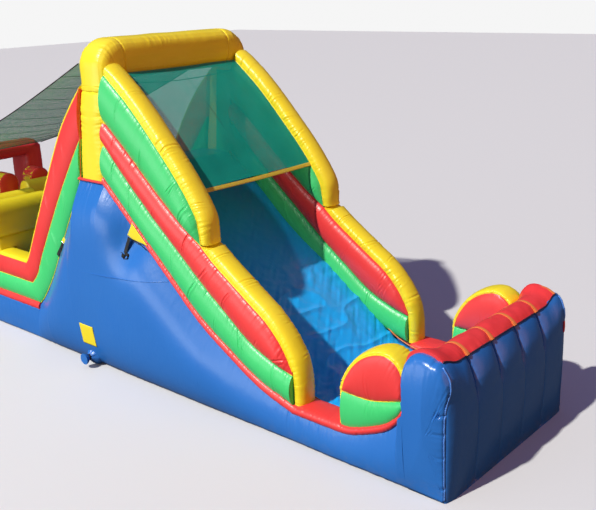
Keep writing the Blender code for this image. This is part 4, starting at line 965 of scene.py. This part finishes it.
def end_ribs(y):
    """The ribs' grid of points and its seam mask: deep clefts under the red cover, a plainer front."""
    skin, normal = end_skin(y)
    x, z = CROWN[:, :1], CROWN[:, 1:]
    share, row = z / END[1][1], np.arange(END_ROWS)[:, None]
    over = (row > 100) | (x > X_END_WALL + 0.36)
    full, cleft_away = (values[None] for values in rib_shape(y))
    back = eased(share, 0.60, 0.22) * over
    rough = 1 + 0.14 * noise_line(z / 0.07, 4001)
    lift = -(0.085 * back + 0.020 * (share > 0.01)) * (1 - full) ** rough
    lift = lift + 0.016 * back * full * np.sin(math.pi * np.clip((share - 0.55) / 0.45, 0, 1))
    lift = lift + back * gathers(skin[..., 1], cleft_away, 0.035, 0.008, 0.08, 4010)
    lift = lift + 0.006 * noise_sheet(y[None] / 0.5, z / 0.5, 4020)
    covered = (z > 1.12) & (~over | (row < 125))
    lift = lift - 0.018 * covered * eased((X_END_WALL + 0.40 - x) / 0.03)
    lift[share[:, 0] < 0.01] = 0.0
    turned = np.sqrt(1 - np.clip(1 - (HALF_WALL - np.abs(y)) / 0.22, 0, 1) ** 2)[None]
    front = over * eased((0.86 - share) / 0.30)
    lift = lift + front * (0.030 * np.sin(math.pi * np.clip((share - 0.02) / 0.90, 0, 1)) * turned
                           - 0.050 * (1 - turned))
    flat = skin + normal * lift[..., None]
    return spots(flat[..., 0], drawn_in(y[None], Y_OUTER - corner_radius()[:, None]), flat[..., 1]), (
        back * np.exp(-cleft_away / 0.06))


def corner_radius():
    return 0.022 + 0.058 * eased(SHOULDER[:, 1], 1.15, 0.30)


def end_face(rim, side, step):
    """The end's outline drawn in by a step toward its middle, swelling like the blue side that it meets."""
    middle = np.array([X_END_WALL + 0.275, 0.80])
    spot, radius = rim + (middle - rim) * step, corner_radius()
    x, z = spot.T
    far = step * np.linalg.norm(middle - rim, axis=1)
    round_over = radius * (1 - np.sqrt(np.clip(1 - np.clip(1 - far / radius, 0, 1) ** 2, 0, 1)))
    seated = (SHOULDER[:, 0] < X_END_WALL + 0.01) & (SHOULDER[:, 1] < 1.06)
    swell = (side_reach(x, z) - Y_OUTER) * np.clip((X_FRONT - 0.050 - x) / 0.24, 0, 1) ** 0.7
    corner = np.clip(1 - (X_FRONT - x) / 0.30, 0, 1)
    for height, deep in ((0.20, 0.018), (0.60, 0.012), (0.90, 0.016), (1.14, 0.026)):
        swell = swell - deep * corner * hump(z + 0.02 * corner, height, 0.017)
    swell = swell + 0.006 * noise_line(z / 0.04, 4032) * corner ** 2
    swell = swell + 0.013 * noise_line(lengths_along(SHOULDER) / 0.045, 4031) * np.exp(-far / 0.13) * (
        eased(SHOULDER[:, 1], 1.2, 0.2) * step ** 0.3)
    return spots(x, side * (Y_OUTER + swell - np.where(seated, 0.0, round_over)), z)


def end_wall():
    """Five upright ribs, deeply cleft under the red cover, with rounded shoulders at both ends."""
    points, near = end_ribs(np.linspace(-HALF_WALL, HALF_WALL, 320))
    steps = (0.0, 0.03, 0.07, 0.12, 0.18, 0.26, 0.36, 0.5, 0.66, 0.83, 1.0)
    at_corner = (np.arange(END_ROWS) > 100) & (SHOULDER[:, 0] > X_END_WALL + 0.43) & (SHOULDER[:, 1] > 0.03)
    faces = []
    for (label, side), column in zip(SIDES, (0, -1)):
        face = [end_face(points[:, column][:, [0, 2]], side, step) for step in steps]
        faces.append(np.stack(face, axis=1))
        # The weld bead takes the lighter blue copy: a painted highlight along the weld
        bead(f"corner_weld_{label}", face[0][at_corner] + (0.003, side * 0.003, 0.002), 0.011, weld_painted_highlight)
    points = closed(np.hstack([faces[0][:, ::-1], points, faces[1]]))
    near = np.pad(near, ((0, 1), (len(steps), len(steps))))
    padded("end_wall_ribs", points, near, blue_vinyl, "end_wall")


def end_tape(number, middle, keep):
    """An orange tape in a dip between two ribs."""
    half = 0.026
    tape = np.linspace(-half, half, 7)
    line, normal = end_skin(middle + tape, keep, COVER_COLUMNS)
    top = line + normal * (0.010 + 0.004 * np.cos(tape / half * 1.4))[None, :, None]
    ring = np.hstack([top, (line - normal * 0.014)[:, ::-1], top[:, :1]]).transpose(1, 0, 2)
    y = drawn_in(middle + closed(tape, tape[::-1]))[:, None]
    finish(surface(f"end_tape_{number}", spots(ring[..., 0], y, ring[..., 1]), 0.0), orange_tape)


def end_cover():
    """The red skin over the wall's crown, with an orange tape in each dip between its ribs."""
    keep = (CROWN[:, 1] > 1.16) & (np.arange(END_ROWS) < 130) & (CROWN[:, 0] < X_END_WALL + 0.42)
    y = np.linspace(-1.425, 1.425, 280)
    line, normal = end_skin(y, keep, COVER_COLUMNS)
    full = rib_shape(y)[0][None]
    share = np.linspace(0.0, 1.0, COVER_COLUMNS)[:, None]
    lift = 0.010 - 0.018 * (1 - full) + 0.012 * np.sin(math.pi * share) * full
    lift = lift + 0.005 * noise_sheet(y[None] / 0.12, share / 0.10, 4101)
    lift = lift + gathers(y[None], (1 - share) * 0.6, 0.05, 0.004, 0.12, 4102)
    lift = lift - 0.05 * (1 - full) * eased(share, 0.84, 0.16)
    outer = line + normal * lift[..., None]
    flat = closed(outer, (line - normal * 0.030)[::-1])
    near = closed(np.exp(-(1 - share) * 0.6 / 0.05), np.zeros((COVER_COLUMNS, 1)))
    padded("end_wall_red_cover", spots(flat[..., 0], drawn_in(y), flat[..., 1]), near, red_vinyl,
           "end_wall_cover", fill=0.9)
    bead("end_wall_seam", spots(outer[-1, :, 0], drawn_in(y), outer[-1, :, 1]), 0.010, dark_seam)
    for number, middle in enumerate((-0.852, -0.284, 0.284, 0.852, 1.40)):
        end_tape(number, middle, keep)


end_wall()
end_cover()


# Nets


def net_panel(name, node_name, line, half, drop, seed, material, rows):
    """A net between its two long edges; drop is how far its middle hangs at each column."""
    y = np.linspace(-half, half, rows)[:, None]
    along = lengths_along(line)[None]
    pull = (0.008 * noise_sheet(along / 0.45, y / 0.8 + along / 1.5, seed)
            + 0.0015 * noise_sheet(along / 0.12, y / 0.30, seed + 1))
    z = line[None, :, 1] - drop * (1 - (y / half) ** 2) + pull * eased((half - np.abs(y)) / 0.15)
    piece = surface(name, spots(line[:, 0], y, z), ring=False)
    finish(piece, material, node_name)


def ribbon(name, path, wide, width, thickness, material, *nodes, body="structure"):
    """Flat webbing along a path; wide gives the direction of its width at each point."""
    path, wide = np.asarray(path, float), np.asarray(wide, float) * np.ones_like(path)
    ahead = unit(np.gradient(path, axis=0))
    wide = unit(wide - ahead * (wide * ahead).sum(axis=1, keepdims=True))
    reach = np.array([-0.5, -0.46, -0.2, 0.2, 0.46, 0.5, 0.46, 0.2, -0.2, -0.46, -0.5])[:, None, None]
    rise = np.array([0.0, 0.5, 0.62, 0.62, 0.5, 0.0, -0.5, -0.62, -0.62, -0.5, 0.0])[:, None, None]
    points = path + wide * reach * width + np.cross(ahead, wide) * rise * thickness
    finish(surface(name, points, 0.0), material, *nodes, body=body)


def strap(name, path, wide, width, body, *nodes):
    """A black strap on a body that swings."""
    ribbon(name, path, wide, width, 0.0035, black_webbing, *nodes, body=body)


def slide_net():
    half, x_end = 1.139, 2.301
    edge = upper_seam + left_of(upper_seam) * 0.004
    edge = resampled(edge[edge[:, 0] < x_end], 200)
    drop = 0.05 * np.sin(math.pi * np.linspace(0.0, 1.0, 200)) ** 0.5
    net_panel("slide_net_panel", "slide_net", edge, half, drop,
              4201, green_net, 70)
    ahead = unit(edge[-1] - edge[-2])
    x, z = edge[-1] + ahead * 0.032
    y = np.linspace(-half, half, 120)
    ribbon("net_end_strap", spots(x, y, z - 0.012 * (1 - (y / half) ** 2)), (ahead[0], 0.0, ahead[1]), 0.064,
           0.004, yellow_webbing, "net_strap")
    dip = 0.075 * np.sin(np.linspace(0, math.pi, 60)) ** 0.7
    bead("net_hem", spots(0.735, np.linspace(-1.13, 1.13, 60), 4.53 - dip), 0.007, black_webbing)
    x, z = resampled(upper_seam, 90)[:70].T
    bead("net_middle_seam", spots(x, -0.05, z - 0.045), 0.003, black_webbing)


def canopy():
    half, start, high, low = 1.43, 0.09, 4.80, 2.66
    x = np.linspace(start, X_BAY + 0.01, 220)
    share = (start - x) / (start - X_BAY)
    z = high + (low - high) * share - 0.16 * np.sin(math.pi * share)
    drop = 0.12 * np.sin(math.pi * np.clip(share, 0, 1)) ** 0.5
    net_panel("canopy_net_panel", "canopy_net", spots(x, z), half, drop,
              4301, canopy_mesh, 60)
    y = np.linspace(-1.42, 1.42, 50)
    for number, column in enumerate(range(18, 215, 17)):
        sag = drop[column] * (1 - (y / half) ** 2) - 0.004
        bead(f"canopy_seam_{number}", spots(x[column], y, z[column] - sag), 0.0035, black_webbing)
    for label, side in SIDES:
        bead(f"canopy_hem_{label}", spots(x, side * half, z), 0.009, black_webbing)


slide_net()
canopy()


# Bay


def roll_stack(name, node_name, x_middle, thickness, y_low, y_high, top, seed):
    """A wall of three round rolls one on another, gathered along the seams between them."""
    base, count = BAY_FLOOR - 0.01, 3
    step = (top - base) / count
    spread = 0.5 - 0.5 * np.cos(np.linspace(0.0, math.pi, 24))
    z = np.concatenate([*(base + step * (roll + spread[:-1]) for roll in range(count)), [top]])[:, None]
    share = ((z - base) / step) % 1.0
    share[-1] = 1.0
    full = np.sqrt(np.maximum(0.0, 1 - (2 * share - 1) ** 2))
    crown = z > top - step / 2
    reach = np.where(crown, thickness / 2 * full ** 0.75, thickness / 2 - 0.075 * (1 - full ** 0.8))
    y = np.linspace(y_low, y_high, 100)[None]
    gap = np.where(crown & (share > 0.5), 0.3, np.minimum(share, 1 - share) * step)
    lift = gathers(y - y_low, gap, 0.05, 0.009, 0.09, seed)
    lift = lift + 0.008 * noise_sheet((y - y_low) / 0.5, z / 0.3, seed + 5)
    front = spots(x_middle + reach + lift * (reach > 0.03), y, z)
    back = front * (-1, 1, 1) + (2 * x_middle, 0, 0)
    points, near = closed(front, back[::-1][1:]), np.exp(-gap / 0.05) * np.ones_like(y)
    near = closed(near, near[::-1][1:])
    # Each pass turns the grid round and shuts the end that comes last
    for _ in range(2):
        points, near = drawn_shut(points[:, ::-1], near[:, ::-1], 0.05)
    return padded(name, points, near, yellow_vinyl, node_name, fill=0.95)


def cut_away(piece, cutter):
    """Takes the cutter's space out of a piece."""
    select_only(piece)
    taken = piece.modifiers.new("opening", "BOOLEAN")
    taken.operation, taken.solver, taken.object = "DIFFERENCE", "EXACT", cutter
    bpy.ops.object.modifier_apply(modifier=taken.name)
    bpy.data.objects.remove(cutter)
    smoothed(piece, CUT_SMOOTH_ANGLE)


def bay_walls():
    x = -3.125
    wall = roll_stack("cross_wall_rolls", "cross_wall", x, 0.45, -1.41, 1.41, 2.25, 4401)
    bpy.ops.mesh.primitive_cylinder_add(vertices=96, radius=0.45, depth=1.2, location=(x, 0.0, 0.75),
                                        rotation=(0.0, math.pi / 2, 0.0))
    cut_away(wall, bpy.context.object)
    for size, place in (((1.2, 0.9, 0.6), (x, 0.0, 0.44)), ((1.2, 0.8, 1.7), (x, -1.50, 0.55)),
                        ((1.2, 0.8, 1.7), (x, 1.50, 0.55))):
        bpy.ops.mesh.primitive_cube_add(size=1.0, location=place)
        cutter = bpy.context.object
        cutter.scale = size
        cut_away(wall, cutter)
    roll_stack("half_wall_rolls_right", "half_wall_right", -3.70, 0.42, -1.05, -0.22, 2.22, 4451)
    roll_stack("half_wall_rolls_left", "half_wall_left", -4.35, 0.42, 0.05, 1.05, 2.22, 4471)


def bay_post(label, side):
    """A round-topped post: red faces with a yellow strip over its edge."""
    x, middle, base, radius, crown = -4.85, 0.26 + side * 0.355, 0.345, 0.205, 2.36
    put = lambda along, across, up: spots(x + across, middle + along, up)
    arc = np.radians(np.linspace(0.0, 88.0, 40))
    edge = np.vstack([spots(radius, np.linspace(base, crown - radius, 80))[:-1],
                      spots(radius * np.cos(arc), crown - radius + radius * np.sin(arc))])
    other = edge * (-1.0, 1.0)
    band(f"post_red_{label}", f"post_{label}", edge, other, put, red_vinyl, 0.045, 4501 + side, half=0.15,
         spacing=5.0, depth=0.010)
    over = resampled(np.vstack([edge, other[::-1][1:]]), 300)
    cap_strip(f"post_edge_{label}", [], over, 0.055, put, 4551 + side, half=0.155)


bay_walls()
for label, side in SIDES:
    bay_post(label, side)


# Small pieces on the sides


def plate(name, corners, material, *nodes, rows=14, thickness=0.004, dome=0.004):
    """A sewn-on plate between four corners, its edges pressed flat."""
    a, b, c, d = np.array(corners, float)
    s, t = np.linspace(0, 1, rows)[:, None, None], np.linspace(0, 1, rows)[None, :, None]
    points = (a * (1 - s) + d * s) * (1 - t) + (b * (1 - s) + c * s) * t
    rise = dome * np.sin(math.pi * s[..., 0]) ** 0.4 * np.sin(math.pi * t[..., 0]) ** 0.4
    points[..., 1] += np.sign(a[1]) * rise
    piece = surface(name, points, 0.0, ring=False)
    thick = piece.modifiers.new("thickness", "SOLIDIFY")
    thick.thickness, thick.offset = thickness, 0.0
    bpy.ops.object.modifier_apply(modifier=thick.name)
    in_edit_mode(piece, face_outwards)
    finish(piece, material, *nodes)


JOINTS = {joint["name"]: joint for joint in frame["joints"]}


def hanging(joint_name, lean, tilt, side):
    """Where a strap hangs from, and its directions down, out and along the hinge."""
    lean, tilt = math.radians(lean), math.radians(tilt)
    down = np.array([-math.sin(lean) * math.cos(tilt), side * math.sin(tilt),
                     -math.cos(lean) * math.cos(tilt)])
    out = np.array([0.0, side, 0.0])
    out = unit(out - down * out.dot(down))
    return np.array(JOINTS[joint_name]["pos_m"]), down, out, np.cross(out, down)


def eye(place, down, out):
    """Points of webbing that goes round a bar and comes down behind itself."""
    turn, radius = np.radians(np.linspace(250.0, -70.0, 26))[:, None], 0.0068
    return place + out * radius * np.cos(turn) - down * radius * np.sin(turn)


def tether_patch(label, side, link, loop, hinge):
    """The yellow patch with its tab round the link, and the black tape over its low edge."""
    x, y, z = link
    top = [(x + ahead, side * 1.531, np.interp(x + ahead, *foot.T) + 0.004) for ahead in (0.10, 0.42)]
    tips = [(x + shift, side * 1.512, z + rise) for shift, rise in ((-0.052, -0.002), (0.050, -0.045))]
    plate(f"tether_patch_sewn_{label}", (*tips, *top[::-1]), yellow_vinyl, f"tether_patch_{label}", rows=24)
    ribbon(f"tether_tab_{label}", loop, hinge, 0.058, 0.003, yellow_vinyl)
    low = np.linspace((x + 0.02, side * 1.520, z - 0.045), (x + 0.40, side * 1.534, top[1][2] - 0.07), 30)
    low[:, 2] += 0.02 * np.sin(np.linspace(0, math.pi, 30))
    ribbon(f"tether_edge_tape_{label}", low, (0.0, 0.0, 1.0), 0.016, 0.003, black_webbing)


def tether_knot(label, knot, down, out, hinge):
    """The strap's spare length: two loops and two tails, wrapped together."""
    body, aside = f"strap_body_{label}", -hinge
    turn = np.linspace(-0.92 * math.pi, 0.92 * math.pi, 60)[:, None]
    for number, (a, d, length, breadth) in enumerate(((-0.80, -0.25, 0.095, 0.032),
                                                      (0.62, 0.10, 0.080, 0.030))):
        way = unit(aside * a + down * d)
        wide = np.cross(way, out)
        path = knot + way * length * 0.5 * (1 + np.cos(turn)) + wide * breadth * np.sin(turn)
        strap(f"tether_loop_{number}_{label}", path, out * 0.8 + wide * 0.6, 0.044, body)
    share = np.linspace(0, 1, 30)[:, None]
    for number, (a, d, length) in enumerate(((-0.42, 0.90, 0.095), (0.34, 0.94, 0.125))):
        way = aside * a + down * d
        path = knot + way * length * share + out * (0.004 + 0.012 * np.sin(3 * share))
        strap(f"tether_tail_{number}_{label}", path, np.cross(way, out), 0.046, body)
    turn = np.linspace(0, 2 * math.pi * 0.97, 50)[:, None]
    path = knot + aside * 0.036 * np.cos(turn) + out * 0.030 * np.sin(turn)
    ribbon(f"tether_wrap_{label}", path, down, 0.050, 0.004, black_webbing, body=body)


def tether(label, side):
    """The yellow patch, and the black strap on its link with the spare length knotted up."""
    link, down, out, hinge = hanging(f"link_swing_{label}", 16, 9, side)
    tether_patch(label, side, link, eye(link, -down, out), hinge)
    bar, down, out, hinge = hanging(f"strap_swing_{label}", 16, 9, side)
    share = np.linspace(0.0, 1.0, 30)[1:, None]
    run = bar + out * (0.004 + 0.016 * share) + down * (0.012 + 0.27 * share)
    path = smooth_line(np.vstack([eye(bar, down, out)[6:], run]), 120)
    strap(f"tether_strap_web_{label}", path, hinge, 0.064, f"strap_body_{label}", f"tether_strap_{label}")
    tether_knot(label, bar + down * 0.285 + out * 0.026, down, out, hinge)


def climb_tether(label, side):
    """The small yellow patch beside the climb, with a short doubled strap on its staple."""
    place, down, out, hinge = hanging(f"climb_strap_swing_{label}", 34, 2, side)
    base = place * (1, 0, 1) + (0.0, side * 1.512, 0.0)
    corners = [base + hinge * w - down * h
               for w, h in ((-0.046, -0.012), (0.046, -0.012), (0.043, 0.088), (-0.043, 0.088))]
    plate(f"climb_patch_sewn_{label}", corners, yellow_vinyl, f"climb_patch_{label}", rows=20)
    staple = [base + hinge * w + out * d for w, d in ((-0.038, -0.004), (-0.038, 0.004), (-0.034, 0.0075),
                                                      (0.034, 0.0075), (0.038, 0.004), (0.038, -0.004))]
    bead(f"climb_staple_{label}", smooth_line(staple, 40), 0.0042, steel)
    share = np.linspace(0, 1, 40)[1:, None]
    run = place + out * (0.005 + 0.004 * share) + down * (0.012 + 0.285 * share)
    share = np.linspace(0.03, 1, 26)[:, None]
    back = place + out * (0.014 + 0.010 * np.sin(3 * share)) + down * (0.297 - 0.17 * share) + (
        hinge * 0.012 * share)
    path = smooth_line(np.vstack([eye(place, down, out)[6:], run, back]), 190)
    strap(f"climb_strap_web_{label}", path, hinge, 0.066, f"climb_strap_body_{label}", f"climb_strap_{label}")


def side_skin(x, z, side, proud):
    """Points on the blue side, or a little proud of it."""
    return spots(x, side * (side_reach(x, z) + proud), z)


def blower_sleeve():
    """The air inlet on the side, tied off and gathered beyond its tie."""
    x, y, z, tie = -0.0666, -Y_OUTER + 0.01, 0.17, 0.205
    profile = smooth_line([(d * 0.30, r * 0.155) for r, d in (
        (1.0, 0.0), (1.04, 0.15), (0.92, 0.36), (0.55, 0.56), (0.30, 0.66), (0.27, 0.71), (0.50, 0.86),
        (0.60, 1.0))], 70)
    turn = np.linspace(0.0, 2 * math.pi, 97)[:, None]
    out, radius = profile[None, :, 0], profile[None, :, 1]
    tied = hump(out, tie, 0.07)
    pleat = 1 + (0.05 + 0.22 * tied) * noise_line(turn / (2 * math.pi) * 22 % 22, 4701)
    pleat[-1] = pleat[0]
    radius = radius * pleat
    height = np.maximum(z + radius * np.sin(turn) * (1 - 0.1 * tied), 0.012)
    points = spots(x + radius * np.cos(turn), y - out, height)
    points, seam = drawn_shut(points, tied * np.ones_like(radius), 0.0)
    padded("blower_sleeve_tied", points, seam, blue_vinyl, "blower_sleeve", fill=0.4)
    turn = np.linspace(0, 2 * math.pi * 0.99, 60)
    ring = spots(x + 0.047 * np.cos(turn), y - tie - 0.004 * np.sin(3 * turn), z + 0.047 * np.sin(turn))
    ribbon("sleeve_tie", ring, (0.0, 1.0, 0.0), 0.025, 0.003, black_webbing)


def leg_strips(label, side):
    """The round strips and piping along the arch's leg, and the green lining on its inner face."""
    share = np.linspace(0.0, 0.93, 120)
    x, z = 0.535 + ARCH_LEAN * share, PLATFORM + 0.06 + LEG_HEIGHT * share
    bead(f"leg_strip_{label}", spots(x, side * 1.455, z), 0.036, yellow_vinyl, sides=6)
    bead(f"leg_inner_strip_{label}", spots(x, side * 1.145, z), 0.036, yellow_vinyl, sides=6)
    corners = []
    for x, share in ((X_TOWER + 0.32, 0.03), (X_CREST + 0.02, 0.03), (X_CREST + 0.02, 1.0),
                     (X_TOWER + 0.26, 1.0)):
        x, z = leg_at(x, share)
        corners.append((x, side * 1.082, z))
    plate(f"leg_lining_{label}", corners, green_vinyl, rows=30, thickness=0.006, dome=-0.012)
    rear = spots(*leg_at(X_TOWER - 0.006, np.linspace(0.0, 0.96, 120)))
    bead(f"leg_rear_piping_{label}", spots(rear[:, 0], side * 1.462, rear[:, 1]), 0.012, orange_tape)
    foot_line = spots(np.linspace(X_TOWER, X_CREST, 60), side * 1.497, PLATFORM + 0.012)
    bead(f"leg_foot_piping_{label}", foot_line, 0.022, red_vinyl, sides=4)


def side_details():
    x, z = np.array([(-0.18, 0.40), (0.17, 0.40), (0.17, 0.75), (-0.18, 0.75)]).T
    plate("blank_label", side_skin(x, z, -1, 0.004), yellow_vinyl, rows=20, thickness=0.003, dome=0.003)
    share = np.linspace(0.0, 1.0, 24)
    tab = spots(X_FRONT + 0.003 + 0.006 * np.sin(math.pi * share), 1.385, 1.20 + 0.15 * share)
    bead("end_tab", tab, 0.016, red_vinyl)
    x, z = smooth_line([(-0.66, 1.59), (0.10, 1.66), (0.95, 1.71), (1.85, 1.78)], 160).T
    for label, side in SIDES:
        bead(f"side_weld_{label}", side_skin(x, z, side, 0.0), 0.006, blue_vinyl)
        leg_strips(label, side)


def steel_links():
    for node_name in frame["nodes"]:
        if node_name.startswith("tether_link"):
            link = bpy.data.objects[node_name]
            link.data.materials.clear()
            link.data.materials.append(steel)


for label, side in SIDES:
    tether(label, side)
    climb_tether(label, side)
blower_sleeve()
side_details()
steel_links()


# Floor and light


def aimed(lamp, toward):
    lamp.rotation_euler = Vector(toward).to_track_quat("Z", "Y").to_euler()


def floor():
    bpy.ops.mesh.primitive_plane_add(size=160.0)
    ground = bpy.context.object
    ground.name = "floor"
    material, tree, shader = blank_material("pale_floor")
    seen = node(tree, "LightPath").outputs["Is Camera Ray"]
    feed(tree, shader, {"Base Color": mixed(tree, seen, (0.09, 0.09, 0.09), (0.72, 0.72, 0.72)),
                        "Roughness": 0.8})
    ground.data.materials.append(material)


def lights():
    """A warm sun, a faint warm light from the landing's side, a blue one from above and a wide soft one."""
    for toward, energy, angle, colour in (((-0.143, -0.683, 0.717), 3.8, 1.6, (1.0, 0.97, 0.90)),
                                          ((0.99, 0.10, 0.10), 1.15, 70.0, (1.0, 0.33, 0.05)),
                                          ((0.0, 0.0, 1.0), 0.42, 120.0, (0.18, 0.36, 1.0))):
        bpy.ops.object.light_add(type="SUN", location=(0.0, 0.0, 12.0))
        sun = bpy.context.object
        sun.data.energy, sun.data.angle, sun.data.color = energy, math.radians(angle), colour
        aimed(sun, toward)
    bpy.ops.object.light_add(type="AREA", location=(-4.5, -14.0, 3.8))
    soft = bpy.context.object
    soft.data.shape, soft.data.size, soft.data.size_y = "RECTANGLE", 14.0, 5.4
    soft.data.energy, soft.data.color = 700.0, (0.95, 0.98, 1.0)
    aimed(soft, (-0.33, -0.93, 0.12))


def surroundings():
    """Pale to the camera, with less and bluer light than they show."""
    world = bpy.data.worlds.new("pale_surroundings")
    bpy.context.scene.world = world
    world.use_nodes = True
    tree = world.node_tree
    seen = node(tree, "LightPath").outputs["Is Camera Ray"]
    feed(tree, tree.nodes["Background"], {0: mixed(tree, seen, (0.40, 0.48, 1.0), (0.92, 0.92, 0.92)),
                                          1: ramp(tree, seen, 0.0, 1.0, 0.085, 1.0)})
    bpy.context.scene.view_settings.view_transform = "Standard"


floor()
lights()
surroundings()
